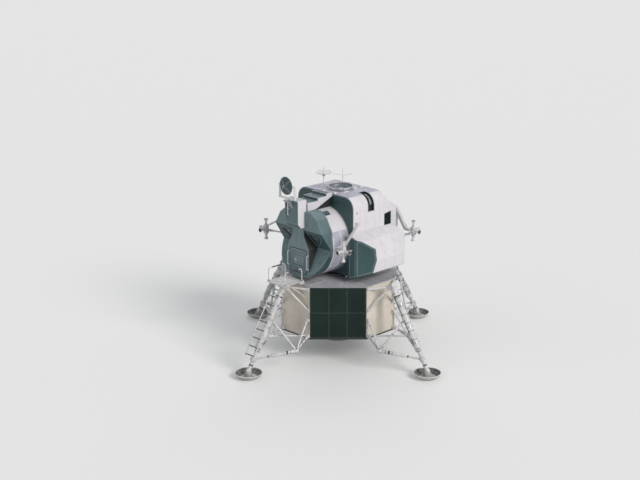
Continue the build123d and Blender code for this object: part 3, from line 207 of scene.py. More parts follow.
def make_floor():
    """Pale round floor that runs out of sight and keeps the shadow, with a glow for the camera alone."""
    mesh = bpy.data.meshes.new("floor")
    mesh.from_pydata((FLOOR_R * spokes(96)).tolist(), [], [list(range(96))])
    floor = bpy.data.objects.new("floor", mesh)
    floor.location.z = -0.001
    bpy.context.scene.collection.objects.link(floor)
    material, shader, w = new_material("floor pale")
    glow = w.value("MULTIPLY", w.node("ShaderNodeLightPath").outputs["Is Camera Ray"], 0.12)
    w.feed(shader, {"Base Color": (0.80, 0.80, 0.79), "Roughness": 0.95, "Specular IOR Level": 0.1,
                    "Emission Color": SEEN_TONE, "Emission Strength": glow})
    mesh.materials.append(material)


# Node groups shared by the finishes
groups = {}
materials = {}


def new_group(name, inputs, outputs):
    """Empty shader group, its wiring, its given values and its end.

    inputs are (name, kind, default) rows, outputs are (name, kind) rows.
    """
    group = bpy.data.node_groups.new(name, "ShaderNodeTree")
    for label, kind, value in inputs:
        socket = group.interface.new_socket(label, in_out="INPUT", socket_type=f"NodeSocket{kind}")
        socket.default_value = value
    for label, kind in outputs:
        group.interface.new_socket(label, in_out="OUTPUT", socket_type=f"NodeSocket{kind}")
    groups[name] = group
    return Wiring(group), group.nodes.new("NodeGroupInput").outputs, group.nodes.new("NodeGroupOutput")


def make_mottle_group():
    """Tone variation of a painted sheet: broad clouds and faint upright streaks."""
    w, given, end = new_group(
        "mottle", [("Vector", "Vector", (0, 0, 0)), ("Colour", "Color", (1, 1, 1, 1)),
                   ("Shade", "Color", (0.5, 0.5, 0.5, 1)), ("Amount", "Float", 0.5), ("Scale", "Float", 1.0)],
        [("Colour", "Color"), ("Mask", "Float")])
    clouds = w.noise(given["Vector"], given["Scale"], 5.0, 0.6)
    stretched = w.feed(w.node("ShaderNodeMapping"), {"Vector": given["Vector"], "Scale": (7.0, 7.0, 0.7)})
    streaks = w.noise(stretched["Vector"], given["Scale"], 4.0, 0.6)
    mask = w.value("ADD", w.value("MULTIPLY", w.steps(clouds, 0.38, 0.68), 0.65),
                   w.value("MULTIPLY", w.steps(streaks, 0.48, 0.72), 0.35))
    mask = w.value("MULTIPLY", mask, given["Amount"], clamp=True)
    w.feed(end, {"Colour": w.blend(mask, given["Colour"], given["Shade"]), "Mask": mask})


def make_crinkle_group():
    """Height of crumpled foil: ridges between cells at two sizes, with a fine grain."""
    w, given, end = new_group("crinkle", [("Vector", "Vector", (0, 0, 0)), ("Scale", "Float", 6.0)],
                              [("Height", "Float")])
    fine = w.noise(given["Vector"], w.value("MULTIPLY", given["Scale"], 3.0), 4.0)
    height = w.value("MULTIPLY", fine, 0.35)
    for factor, weight in ((1.0, 0.6), (2.7, 0.28)):
        cells = w.feed(w.node("ShaderNodeTexVoronoi", feature="DISTANCE_TO_EDGE"),
                       {"Vector": given["Vector"], "Scale": w.value("MULTIPLY", given["Scale"], factor)})
        ridges = w.value("MULTIPLY", w.steps(cells["Distance"], 0.0, 0.5), weight)
        height = w.value("ADD", height, ridges)
    w.feed(end, {"Height": height})


def make_wear_group():
    """Mask of rubbed spots on struts and edges: small sparse chips."""
    w, given, end = new_group(
        "wear", [("Vector", "Vector", (0, 0, 0)), ("Scale", "Float", 9.0), ("Amount", "Float", 0.5)],
        [("Mask", "Float")])
    chips = w.steps(w.noise(given["Vector"], given["Scale"], 6.0, 0.7), 0.58, 0.66)
    w.feed(end, {"Mask": w.value("MULTIPLY", chips, given["Amount"], clamp=True)})


def new_material(name):
    """Node material, its shader and its wiring."""
    material = bpy.data.materials.new(name)
    material.use_nodes = True
    return material, material.node_tree.nodes["Principled BSDF"], Wiring(material.node_tree)


def finish_material(name, colour, shade, amount=0.5, scale=0.8, rough=0.5, metal=0.0, crinkle=0.0,
                    crinkle_scale=5.0, wear=0.0, wear_colour=(0.5, 0.5, 0.52), bump=0.05, coat=0.0):
    """Painted or bare sheet: mottled tone, worn chips, and a bump of crinkles or of fine ripples."""
    material, shader, w = new_material(name)
    place = w.node("ShaderNodeTexCoord").outputs["Object"]
    mottle = w.group("mottle", {"Vector": place, "Colour": colour, "Shade": shade, "Amount": amount,
                                "Scale": scale})
    tone = mottle["Colour"]
    if wear:
        tone = w.blend(w.group("wear", {"Vector": place, "Amount": wear})["Mask"], tone, wear_colour)
    if crinkle:
        height = w.group("crinkle", {"Vector": place, "Scale": crinkle_scale})["Height"]
    else:
        height = w.noise(place, 2.6, 5.0, 0.6)
    lift = w.feed(w.node("ShaderNodeBump"), {"Strength": crinkle or bump, "Distance": 0.05, "Height": height})
    dull = w.value("ADD", w.value("MULTIPLY", mottle["Mask"], 0.18), rough, clamp=True)
    w.feed(shader, {"Base Color": tone, "Roughness": dull, "Metallic": metal, "Coat Weight": coat,
                    "Normal": lift["Normal"]})
    return material


def glass_material():
    """Tinted pane with a faint smear, that lets the cabin be seen."""
    material, shader, w = new_material("window pane")
    smear = w.steps(w.noise(w.node("ShaderNodeTexCoord").outputs["Object"], 3.0, 4.0), 0.45, 0.75)
    dull = w.value("ADD", w.value("MULTIPLY", smear, 0.06), 0.02)
    w.feed(shader, {"Base Color": (0.42, 0.52, 0.56), "Roughness": dull, "Transmission Weight": 0.85,
                    "IOR": 1.2})
    return material


def make_materials():
    """All finishes by the record's material slot, and the other tones that one slot's faces also wear, among
    them painted light and painted shade chosen by the way a face points.
    """
    make_mottle_group()
    make_crinkle_group()
    make_wear_group()
    make = finish_material
    materials.update({
        "white_panel": make("lander white", (0.74, 0.715, 0.74), (0.55, 0.53, 0.60), 0.5, 0.9, 0.42,
                            bump=0.18),
        # Lavender grey on the tops of the white parts and on the barrel's lower sides: painted shade, these
        # faces drawn darker than the white sides.
        "lavender_painted_shade": make("lavender painted shade", (0.46, 0.46, 0.53), (0.33, 0.33, 0.42), 0.7, 1.0, 0.45,
                               bump=0.18),
        "slate_panel": make("slate sheet", (0.115, 0.18, 0.19), (0.05, 0.095, 0.105), 0.8, 1.1, 0.42,
                            bump=0.2, wear=0.12, wear_colour=(0.26, 0.33, 0.34)),
        # Dark slate: painted shade on the front faces and undersides of the white parts, on the face's
        # downward and aft planes and on the docking hatch's top, and a real dark tone on the docking window's
        # frame and the spine's tread strips.
        "slate_dark": make("dark slate sheet", (0.04, 0.088, 0.088), (0.018, 0.046, 0.05), 0.8, 1.0, 0.42,
                           bump=0.2, wear=0.1, wear_colour=(0.12, 0.17, 0.17)),
        # Pale slate: painted light on the front plane and tops of the slate face and on the hatch's front,
        # and a real paler tone on rims, frames, fins and seams.
        "slate_pale": make("pale slate sheet", (0.165, 0.235, 0.25), (0.09, 0.145, 0.16), 0.8, 1.3, 0.42,
                           bump=0.2),
        "black_panel": make("flat black", (0.012, 0.014, 0.015), (0.035, 0.037, 0.04), 0.6, 1.5, 0.6,
                            crinkle=0.12, crinkle_scale=4.0),
        # Bottle green on the slanted panels of the descent stage and their edges is painted shade: these
        # panels are drawn dark all round.
        "dark_green_panel": make("bottle green edge", (0.008, 0.026, 0.019), (0.003, 0.010, 0.008), 0.9, 0.9,
                                 0.4, metal=0.2, wear=0.2, wear_colour=(0.05, 0.08, 0.07)),
        "green_foil_painted_shade": make("bottle green foil in painted shade", (0.007, 0.025, 0.018), (0.002, 0.009, 0.007), 0.9, 0.9,
                           0.27, metal=0.45, crinkle=0.2, crinkle_scale=7.0),
        # Cream on the leg bays of the descent stage: their own pale tone, with a warm cast that is painted
        # light.
        "cream_panel": make("cream edge", (0.66, 0.60, 0.52), (0.44, 0.39, 0.33), 0.7, 1.2, 0.45,
                            wear=0.15, wear_colour=(0.3, 0.28, 0.25)),
        "cream_foil": make("cream foil", (0.68, 0.62, 0.53), (0.46, 0.41, 0.34), 0.75, 1.2, 0.4,
                           crinkle=0.16, crinkle_scale=7.0),
        "deck_white": make("deck sheet", (0.50, 0.49, 0.52), (0.28, 0.28, 0.32), 0.75, 0.8, 0.5, bump=0.2),
        "deck_soot": make("deck soot", (0.10, 0.095, 0.09), (0.045, 0.04, 0.04), 0.9, 1.4, 0.65),
        "dark_structure": make("dark structure", (0.030, 0.036, 0.038), (0.012, 0.015, 0.016), 0.7, 1.4, 0.5,
                               crinkle=0.3, crinkle_scale=5.0),
        "bare_metal": make("bare alloy", (0.46, 0.47, 0.50), (0.25, 0.26, 0.29), 0.6, 3.0, 0.36, metal=0.85,
                           bump=0.06),
        "strut_white": make("strut white", (0.66, 0.65, 0.64), (0.36, 0.36, 0.38), 0.65, 1.6, 0.42,
                            wear=0.18, wear_colour=(0.22, 0.23, 0.24), bump=0.06),
        "strut_dark": make("strut band dark", (0.035, 0.04, 0.042), (0.015, 0.017, 0.018), 0.6, 3.0, 0.45,
                           wear=0.3, wear_colour=(0.25, 0.26, 0.27)),
        "pad_metal": make("pad alloy", (0.56, 0.55, 0.53), (0.26, 0.26, 0.27), 0.8, 2.2, 0.4, metal=0.4,
                          wear=0.3, wear_colour=(0.2, 0.2, 0.2)),
        # Darker inside of the footpads' dishes: painted shade.
        "pad_inside_shade": make("pad inside painted shade", (0.17, 0.17, 0.165), (0.075, 0.075, 0.075), 0.85, 3.0, 0.6),
        "nozzle_metal": make("bell coating", (0.34, 0.335, 0.35), (0.15, 0.145, 0.15), 0.8, 1.8, 0.42,
                             metal=0.35),
        "bell_inside": make("bell throat soot", (0.05, 0.045, 0.045), (0.012, 0.012, 0.012), 0.8, 3.0, 0.6),
        "interior_grey": make("cabin grey", (0.24, 0.265, 0.27), (0.13, 0.145, 0.15), 0.5, 3.0, 0.55),
        "dial_black": make("dial black", (0.02, 0.021, 0.023), (0.01, 0.01, 0.011), 0.5, 6.0, 0.3),
        "dial_white": make("dial marks", (0.75, 0.75, 0.70), (0.6, 0.6, 0.56), 0.3, 8.0, 0.4),
        "antenna_white": make("dish white", (0.72, 0.72, 0.73), (0.48, 0.48, 0.52), 0.5, 3.0, 0.38),
        # Dark slate inside the tracking dish's bowl: painted shade.
        "dish_bowl_shade": make("dish bowl painted shade", (0.065, 0.11, 0.115), (0.03, 0.055, 0.06), 0.7, 3.5, 0.4),
        "thruster_grey": make("thruster white", (0.68, 0.67, 0.68), (0.42, 0.42, 0.45), 0.6, 5.0, 0.4,
                              wear=0.2, wear_colour=(0.3, 0.3, 0.31)),
        "thruster_bell": make("thruster bell", (0.58, 0.575, 0.58), (0.30, 0.30, 0.32), 0.7, 8.0, 0.35,
                              metal=0.4),
        "thruster_throat": make("thruster throat", (0.16, 0.16, 0.165), (0.05, 0.05, 0.052), 0.8, 9.0, 0.5),
        # Dark blue inside the nose box's slot: painted shade.
        "slot_painted_shade": make("slot painted shade", (0.03, 0.05, 0.12), (0.015, 0.025, 0.07), 0.7, 5.0, 0.4),
        "window_glass": glass_material(),
        # Black for seals, lines and marks, and painted shadow in the midsection's recess, under the spine, on
        # the face's keel sides and in the docking hatch's walls.
        "seal_black": make("seal black", (0.012, 0.012, 0.013), (0.03, 0.03, 0.032), 0.5, 6.0, 0.55),
        "batten": make("batten grey", (0.42, 0.43, 0.48), (0.26, 0.27, 0.32), 0.6, 3.0, 0.45),
        "rivet": make("rivet alloy", (0.36, 0.36, 0.39), (0.20, 0.20, 0.23), 0.5, 8.0, 0.36, metal=0.6),
        "lens_amber": make("lens amber", (0.55, 0.24, 0.04), (0.35, 0.13, 0.02), 0.5, 9.0, 0.15, coat=0.6),
    })


# Shapes worked out in arrays
def unit(v):
    """Vectors along the last axis, each divided by its length."""
    v = np.asarray(v, float)
    return v / np.maximum(np.linalg.norm(v, axis=-1, keepdims=True), 1e-12)


def turns(count, start=0.0):
    """Even angles round a circle in radians, from start degrees."""
    return radians(start) + np.linspace(0, 2 * np.pi, count, endpoint=False)


def arc(start, end, count):
    """Even angles in radians from start to end degrees."""
    return np.radians(np.linspace(start, end, count))


def upright(a):
    """Unit vectors (cos a, 0, sin a) in the plane of X and Z."""
    return np.stack([np.cos(a), 0 * a, np.sin(a)], -1)


def spokes(count, start=0.0):
    """Unit vectors (cos a, sin a, 0) round the upright axis, at even angles from start degrees."""
    a = turns(count, start)
    return np.stack([np.cos(a), np.sin(a), 0 * a], -1)


def axes_of(way):
    """Two unit vectors square to way and to each other."""
    way = unit(way)
    aside = np.array([1.0, 0, 0]) if abs(way[0]) < 0.8 else AFT
    u = unit(np.cross(way, aside))
    return u, np.cross(way, u)


def around(way, count, start=0.0):
    """Unit vectors cos a * u + sin a * v round way, u and v being its two axes."""
    u, v = axes_of(way)
    a = turns(count, start)[:, None]
    return np.cos(a) * u + np.sin(a) * v


def around_z(points, angle):
    """Points turned about the lander's upright axis by an angle in degrees."""
    c, s = cos(radians(angle)), sin(radians(angle))
    return np.asarray(points, float) @ np.array([[c, s, 0], [-s, c, 0], [0, 0, 1.0]])


def mirror(points, flip):
    """Points on the port side, or their mirror image on the starboard side."""
    return np.asarray(points, float) * (flip, 1, 1)


def closed(line):
    """Line with its first row again at its end."""
    return np.concatenate([line, line[:1]])


def grid_faces(rows, columns, wrap=False):
    """Quads of a grid numbered row by row. With wrap, the last column joins the first."""
    r, c = np.meshgrid(np.arange(rows - 1), np.arange(columns if wrap else columns - 1), indexing="ij")
    near, far = r * columns, (r + 1) * columns
    ahead = (c + 1) % columns
    return np.stack([near + c, near + ahead, far + ahead, far + c], -1).reshape(-1, 4)


def side_faces(count):
    """Quads between a loop of points and the equal loop numbered after it."""
    k = np.arange(count)
    ahead = (k + 1) % count
    return np.stack([k, ahead, ahead + count, k + count], -1)


class Pile:
    """Many closed surfaces gathered into one piece of the lander."""

    def __init__(self):
        self.points, self.loops, self.sizes, self.count, self.turn = [], [], [], 0, 0.0

    def add(self, points, *face_sets):
        """Keeps points and arrays of equally sized faces that number them."""
        points = np.asarray(points, float).reshape(-1, 3)
        for faces in face_sets:
            faces = np.asarray(faces, int)
            self.loops.append((faces + self.count).ravel())
            self.sizes.append(np.full(len(faces), faces.shape[1]))
        self.points.append(around_z(points, self.turn) if self.turn else points)
        self.count += len(points)

    def tube(self, path, radius, sides=12):
        """Ring of points, radius * (cos a * u + sin a * v), carried along a path and closed by flat ends.

        u and v are square to the path's direction at each point. radius is one number or one per point.
        """
        path = np.asarray(path, float)
        way = unit(np.gradient(path, axis=0))
        u = unit(np.cross(way, UP if np.abs(way[:, 2]).max() < 0.85 else (0.31, 0.95, 0.02)))
        v = np.cross(way, u)
        a = turns(sides)[None, :, None]
        r = np.broadcast_to(np.asarray(radius, float), len(path))[:, None, None]
        self.loft(path[:, None] + r * (np.cos(a) * u[:, None] + np.sin(a) * v[:, None]))

    def lathe(self, foot, way, profile, sides=32):
        """Profile of (radius, distance along way) points turned about the axis through foot.

        A point is foot + h * way + r * (cos a * u + sin a * v). The profile starts and ends on the axis,
        or its last point meets the first, so the surface is closed.
        """
        r, h = np.asarray(profile, float).T[:, :, None, None]
        points = np.asarray(foot, float) + h * unit(way) + r * around(way, sides)
        self.add(points, grid_faces(len(r), sides, True))

    def hoop(self, foot, way, inner, outer, length, slope=0.004, sides=24):
        """Flat ring from foot along way, its outer edges drawn in by slope."""
        profile = [(inner, 0), (outer, slope), (outer, length - slope), (inner, length), (inner, 0)]
        self.lathe(foot, way, profile, sides)

    def domes(self, places, ways, radius, height, sides=6):
        """Rivet heads: two rings and a top point over each place, the height falling as a quarter circle."""
        places = np.asarray(places, float).reshape(-1, 3)
        ways = unit(np.broadcast_to(np.asarray(ways, float), places.shape))
        u = unit(np.cross(ways, np.where(np.abs(ways[:, :1]) < 0.8, [[1.0, 0, 0]], [[0, 1.0, 0]])))
        v = np.cross(ways, u)
        a = turns(sides)[None, :, None]
        ring = radius * (np.cos(a) * u[:, None] + np.sin(a) * v[:, None])
        foot = places[:, None] + ring - 0.002 * ways[:, None]
        brow = places[:, None] + 0.72 * ring + 0.7 * height * ways[:, None]
        top = (places + height * ways)[:, None]
        each = (np.arange(len(places)) * (2 * sides + 1))[:, None, None]
        flanks = side_faces(sides)
        tops = np.concatenate([flanks[:, :2] + sides, np.full((sides, 1), 2 * sides)], 1)
        under = np.arange(sides)[None, ::-1]
        self.add(np.concatenate([foot, brow, top], 1),
                 *((faces + each).reshape(-1, faces.shape[1]) for faces in (flanks, tops, under)))

    def loft(self, loops):
        """Equal loops of points joined one after the other and closed by flat ends."""
        loops = np.asarray(loops, float)
        rows, count = loops.shape[:2]
        end = np.arange(count)[None]
        self.add(loops, grid_faces(rows, count, True), end[:, ::-1], (rows - 1) * count + end)

    def prism(self, outline, way, thick, taper=0.0):
        """Flat outline pushed along way by thick, its far side drawn in by taper towards its middle."""
        low = np.asarray(outline, float)
        middle = low.mean(0)
        reach = np.linalg.norm(low - middle, axis=1).max()
        self.loft([low, middle + (low - middle) * (1 - taper / max(reach, 1e-9)) + unit(way) * thick])

    def bar(self, start, end, up, wide, tall, lean=0.0):
        """Bar on a surface: start and end lie on it, up leaves it, and lean slopes its sides and ends."""
        start, end, up = np.asarray(start, float), np.asarray(end, float), unit(up)
        way = unit(end - start)
        side = np.cross(up, way) * wide / 2
        low = np.array([start - side, end - side, end + side, start + side]) - up * 0.001
        drawn = np.array([way + unit(side), unit(side) - way, -way - unit(side), way - unit(side)])
        self.loft([low, low + up * (tall + 0.001) + drawn * lean])

    def strap(self, path, out, wide, tall, lean=0.002, loop=False):
        """Flat strap carried along a path that lies on a surface.

        Its section is (-w/2, 0), (-w/2 + lean, tall), (w/2 - lean, tall), (w/2, 0), its first axis across the
        path and its second along out, the surface's normal: one vector, or one per point.
        """
        path = np.asarray(path, float)
        ahead = np.roll(path, -1, 0) - np.roll(path, 1, 0) if loop else np.gradient(path, axis=0)
        out = unit(np.broadcast_to(np.asarray(out, float), path.shape))
        side = unit(np.cross(out, ahead))
        across = np.array([-wide / 2, -wide / 2 + lean, wide / 2 - lean, wide / 2])[None, :, None]
        rise = np.array([-0.002, tall, tall, -0.002])[None, :, None]
        points = path[:, None] + across * side[:, None] + rise * out[:, None]
        if loop:
            self.add(points, grid_faces(len(path) + 1, 4, True) % (len(path) * 4))
        else:
            self.loft(points)

    def frame(self, corners, normal, outer, inner, tall, lean=0.0015):
        """Flat frame that follows an outline between the insets outer and inner, its edges sloped by lean."""
        section = ((outer, -0.002), (outer + lean, tall), (inner - lean, tall), (inner, -0.002),
                   (outer, -0.002))
        rows = [drawn_in(corners, normal, inset) + np.asarray(normal) * rise for inset, rise in section]
        self.add(np.stack(rows), grid_faces(5, len(corners), True))

    def box(self, low, high):
        """Upright block between two corners."""
        (x0, y0, z0), (x1, y1, z1) = low, high
        self.prism([(x0, y0, z0), (x1, y0, z0), (x1, y1, z0), (x0, y1, z0)], UP, z1 - z0)

    def foil(self, corner, along, up, out, height, seed, cell=0.03, sink=0.006):
        """Sheet of crumpled foil over a flat field, closed by a flat back.

        The field runs from corner by the vectors along and up. A point stands out by
        sink + height * edge(s) * edge(t) * crumple(x, y), where edge falls to 0 at the rim.
        """
        along, up = np.asarray(along, float), np.asarray(up, float)
        wide, tall = np.linalg.norm(along), np.linalg.norm(up)
        nu, nv = max(4, round(wide / cell)), max(4, round(tall / cell))
        s, t = np.meshgrid(np.linspace(0, 1, nu), np.linspace(0, 1, nv))
        edge = (np.clip(np.minimum(s, 1 - s) * wide / 0.05, 0, 1)
                * np.clip(np.minimum(t, 1 - t) * tall / 0.05, 0, 1))
        rise = sink + height * edge * crumple(s * wide, t * tall, seed)
        front = (np.asarray(corner, float) + s[..., None] * along + t[..., None] * up
                 + rise[..., None] * unit(out)).reshape(-1, 3)
        rim = np.concatenate([np.arange(nu), np.arange(1, nv) * nu + nu - 1,
                              (nv - 1) * nu + np.arange(nu - 1)[::-1], np.arange(nv - 2, 0, -1) * nu])
        back = front[rim] - unit(out) * (rise.reshape(-1)[rim] + 0.002)[:, None]
        behind = nu * nv + np.arange(len(rim))
        self.add(np.concatenate([front, back]), grid_faces(nv, nu),
                 np.stack([rim, behind, np.roll(behind, -1), np.roll(rim, -1)], -1), behind[::-1][None])

    def make(self, name, finish, slot="white_panel", body=STAGE, edge=0.0, sharp=35.0):
        """Writes the surfaces as one mesh, faces outwards, and lets it ride on its body."""
        mesh = bpy.data.meshes.new(name)
        points, loops, sizes = (np.concatenate(rows) for rows in (self.points, self.loops, self.sizes))
        mesh.vertices.add(len(points))
        mesh.vertices.foreach_set("co", points.ravel())
        mesh.loops.add(len(loops))
        mesh.loops.foreach_set("vertex_index", loops.astype(np.int32))
        mesh.polygons.add(len(sizes))
        mesh.polygons.foreach_set("loop_start", (np.cumsum(sizes) - sizes).astype(np.int32))
        mesh.update(calc_edges=True)
        mesh.validate()
        work = bmesh.new()
        work.from_mesh(mesh)
        bmesh.ops.remove_doubles(work, verts=work.verts, dist=0.00001)
        bmesh.ops.recalc_face_normals(work, faces=work.faces)
        work.to_mesh(mesh)
        work.free()
        return settle(mesh, name, [finish], body, slot, edge, sharp)


def crumple(x, y, seed, waves=11):
    """Height of crumpled foil from -1 to 1: the mean of folded waves 1 - 2 * |sin| in random directions.

    Each wave is shifted by the height so far, which bends its creases round the earlier ones.
    """
    draw = np.random.default_rng(seed)
    height = np.zeros_like(x)
    weights = 0.0
    for n in range(waves):
        angle, pace, phase = draw.uniform(0, np.pi), draw.uniform(4, 9) * (1 + 0.22 * n), draw.uniform(0, 6.3)
        weight = 1 / (1 + 0.35 * n) / 3
        wave = 1 - 2 * np.abs(np.sin((x * np.cos(angle) + y * np.sin(angle)) * pace + phase + 1.4 * height))
        height = height + weight * wave
        weights += weight
    return height / weights


def settle(mesh, name, finishes, body, slot, edge, sharp):
    """Object for a mesh: finishes, smooth faces with sharp creases, soft edges, and the body it rides on."""
    mesh.materials.clear()
    for finish in finishes:
        mesh.materials.append(materials[finish])
    mesh.polygons.foreach_set("use_smooth", np.ones(len(mesh.polygons), bool))
    mesh.set_sharp_from_angle(angle=radians(sharp))
    piece = bpy.data.objects.new(name, mesh)
    bpy.context.scene.collection.objects.link(piece)
    if edge:
        soften = piece.modifiers.new("soft edges", "BEVEL")
        soften.width = edge
        soften.segments = 2
        soften.limit_method = "ANGLE"
        soften.angle_limit = radians(sharp)
        soften.use_clamp_overlap = True
    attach(piece, body)
    return piece


def piles(count):
    """Several empty piles."""
    return [Pile() for _ in range(count)]


def turn_to(quarter, *some):
    """Sets piles to a quarter of the lander."""
    for pile in some:
        pile.turn = 90 * quarter


# Paths, outlines and rivet rows
ARC_STEPS = 6


def rounded_loop(corners, radius, steps=ARC_STEPS):
    """Closed path through flat corners, each replaced by an arc of a radius.

    An arc's points lie at the radius from its centre, evenly from one side's touching point to the next's.
    """
    corners = np.asarray(corners, float)
    before, after = unit(np.roll(corners, 1, 0) - corners), unit(np.roll(corners, -1, 0) - corners)
    half = np.arccos(np.clip((before * after).sum(1), -1, 1))[:, None] / 2
    middle = corners + unit(before + after) * radius / np.sin(half)
    start, end = (corners + way * radius / np.tan(half) for way in (before, after))
    share = np.linspace(0, 1, steps)[None, :, None]
    spread = unit((start - middle)[:, None] * (1 - share) + (end - middle)[:, None] * share)
    return (middle[:, None] + radius * spread).reshape(-1, 3)


def bends(corners, radius):
    """Arcs at the inner corners of an open path."""
    return rounded_loop(corners, radius)[ARC_STEPS:-ARC_STEPS]


def bent(corners, radius):
    """Open path from the first corner to the last, with arcs at those between."""
    corners = np.asarray(corners, float)
    return np.concatenate([corners[:1], bends(corners, radius), corners[-1:]])


def spread_along(path, step, inset=0.0):
    """Rows evenly spaced along a path of straight runs, whose first three columns are the place."""
    path = np.asarray(path, float)
    along = np.concatenate([[0], np.cumsum(np.linalg.norm(np.diff(path[:, :3], axis=0), axis=1))])
    at = np.linspace(inset, along[-1] - inset, max(2, int(round((along[-1] - 2 * inset) / step)) + 1))
    return np.stack([np.interp(at, along, column) for column in path.T], -1)


def spaced(start, end, step, inset=0.0):
    """Evenly spaced points from start to end, about step apart, the first and last moved in by inset."""
    return spread_along([start, end], step, inset)


def drawn_in(corners, normal, inset):
    """Flat outline whose sides are moved inwards by inset.

    A corner moves by (a + b) * inset / (1 + a . b), where a and b are the inward normals of its two sides.
    """
    ahead = unit(np.roll(corners, -1, 0) - corners)
    a, b = np.cross(normal, np.roll(ahead, 1, 0)), np.cross(normal, ahead)
    return corners + (a + b) * inset / (1 + (a * b).sum(1, keepdims=True))


def flat_faces(name, least=0.05, wanted=None):
    """Corners and outward normal of every flat face of a solid that is larger than least square metres.

    wanted tests a face by its normal. Corners inside a straight side are left out.
    """
    work = merged(nodes[name].data)
    found = []
    for face in work.faces:
        normal = np.array(face.normal)
        if face.calc_area() < least or (wanted and not wanted(normal)):
            continue
        corners = np.array([v.co for v in face.verts])
        ahead = unit(np.roll(corners, -1, 0) - corners)
        found.append((corners[(ahead * np.roll(ahead, 1, 0)).sum(1) < 0.9995], normal))
    work.free()
    return found


def rims(plates, heads, faces, inset=0.014, wide=0.042, tall=0.0025, step=0.07, radius=0.006):
    """Raised rim along the outline of each face, and a rivet row on its middle line."""
    for corners, normal in faces:
        plates.frame(corners, normal, inset, inset + wide, tall)
        line = drawn_in(corners, normal, inset + wide / 2) + normal * tall
        for start, end in zip(line, np.roll(line, -1, 0)):
            if np.linalg.norm(end - start) > 2 * step:
                heads.domes(spaced(start, end, step, step / 2), normal, radius, 0.004)


def seams(plates, heads, runs, normal, wide=0.03, tall=0.0025, step=0.07, radius=0.006):
    """Straight battens with rivets on a flat surface. Each run is (start, end)."""
    for start, end in runs:
        plates.bar(start, end, normal, wide, tall, 0.001)
        heads.domes(spaced(start, end, step, step / 2) + unit(normal) * tall, normal, radius, 0.004)


def riveted_strap(plates, heads, path, out, wide=0.04, tall=0.003, rows=(0.0,)):
    """Strap along a path on a surface with rows of rivets, each row moved sideways by its distance."""
    path = np.asarray(path, float)
    out = unit(np.broadcast_to(np.asarray(out, float), path.shape))
    plates.strap(path, out, wide, tall)
    side = unit(np.cross(out, np.gradient(path, axis=0)))
    for row in rows:
        at = spread_along(np.hstack([path + row * side + tall * out, out]), 0.07, 0.035)
        heads.domes(at[:, :3], at[:, 3:], 0.006, 0.004)


def rivet_loop(heads, loop, out, step, lift=0.0, radius=0.005):
    """Rivets along a closed loop on a flat surface, raised by lift."""
    heads.domes(spread_along(closed(loop), step) + lift * np.asarray(out), out, radius, 0.004)


def ring_of(pile, centre, way, radius, count, size, height):
    """Rivet heads on a circle about way, pointing outwards."""
    out = around(way, count)
    pile.domes(np.asarray(centre, float) + radius * out, out, size, height)




# Skins over the solids of the frame
dressed = set()


def merged(mesh):
    """Working mesh of a solid with its corners merged and its flat faces whole."""
    work = bmesh.new()
    work.from_mesh(mesh)
    bmesh.ops.remove_doubles(work, verts=work.verts, dist=0.00002)
    bmesh.ops.dissolve_limit(work, angle_limit=radians(0.6), verts=work.verts, edges=work.edges)
    return work


def columns(rows, label):
    """One value per row of a mesh's vertices or faces, as x, y and z."""
    values = np.empty(len(rows) * 3)
    rows.foreach_get(label, values)
    return values.reshape(-1, 3).T


def skin(name, finishes, edge=0.006, sharp=32.0, rules=()):
    """Copy of a solid with merged corners, softened edges and its finishes, standing for that node.

    finishes names the slot's finish first. Each rule is (number of the finish, test of the faces' normals
    and centres), and the last rule that holds gives a face its finish.
    """
    mesh = nodes[name].data.copy()
    mesh.name = f"{name}_skin"
    work = merged(mesh)
    work.to_mesh(mesh)
    work.free()
    piece = settle(mesh, mesh.name, finishes, body_of_node[name], slot_of_node[name], edge, sharp)
    if rules:
        normal, centre = columns(mesh.polygons, "normal"), columns(mesh.polygons, "center")
        chosen = np.zeros(len(mesh.polygons), np.int32)
        for number, test in rules:
            chosen[test(normal, centre)] = number
        mesh.polygons.foreach_set("material_index", chosen)
    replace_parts(piece, name)
    dressed.add(name)
    return piece


def within(c, *spans):
    """Test of centres against (axis, low, high) spans."""
    return np.all([(c[axis] > low) & (c[axis] < high) for axis, low, high in spans], 0)


def inward(n, c, a, height=0.0):
    """Faces that look towards the axis through X = 0 and, along axis a, height."""
    return n[0] * c[0] + n[a] * (c[a] - height) < 0


def facing(axis, level):
    """Test for faces whose normal has more than level along an axis, or less where level is negative."""
    return lambda n, c: n[axis] > level if level > 0 else n[axis] < level


def midsection_skin():
    """White box with grey inside; its lavender roof, its dark slate front and underside and its black recess
    are painted shade.
    """
    wall = 0.03

    def from_edge(c):
        return np.hypot(np.maximum(np.abs(c[0]) - 0.95, 0), np.maximum(c[2] - ROOF + EDGE_R, 0))

    def inside(n, c):
        return within(c, (0, wall - MID_HALF, MID_HALF - wall), (1, MID_FRONT + wall, MID_BACK - wall),
                      (2, STAGE_LOW + wall, ROOF - wall)) & (from_edge(c) < EDGE_R - 0.04)

    def recess(n, c):
        return within(c, (0, 0.86, 9), (1, 0.09, 0.39), (2, 5.17, 9)) & (from_edge(c) < EDGE_R - 0.004)

    # Painted shade by face: lavender on the roof, dark slate on the front and underside, black in the recess.
    finishes = ["white_panel", "lavender_painted_shade", "slate_dark", "interior_grey", "seal_black"]
    skin("midsection_shell", finishes, 0.012, 32.0,
         [(1, lambda n, c: (n[2] > 0.9) & (c[2] > ROOF - 0.02)), (2, facing(1, -0.9)),
                (2, lambda n, c: (n[2] < -0.3) & (c[2] < STAGE_LOW + 0.2)), (3, inside), (4, recess)])


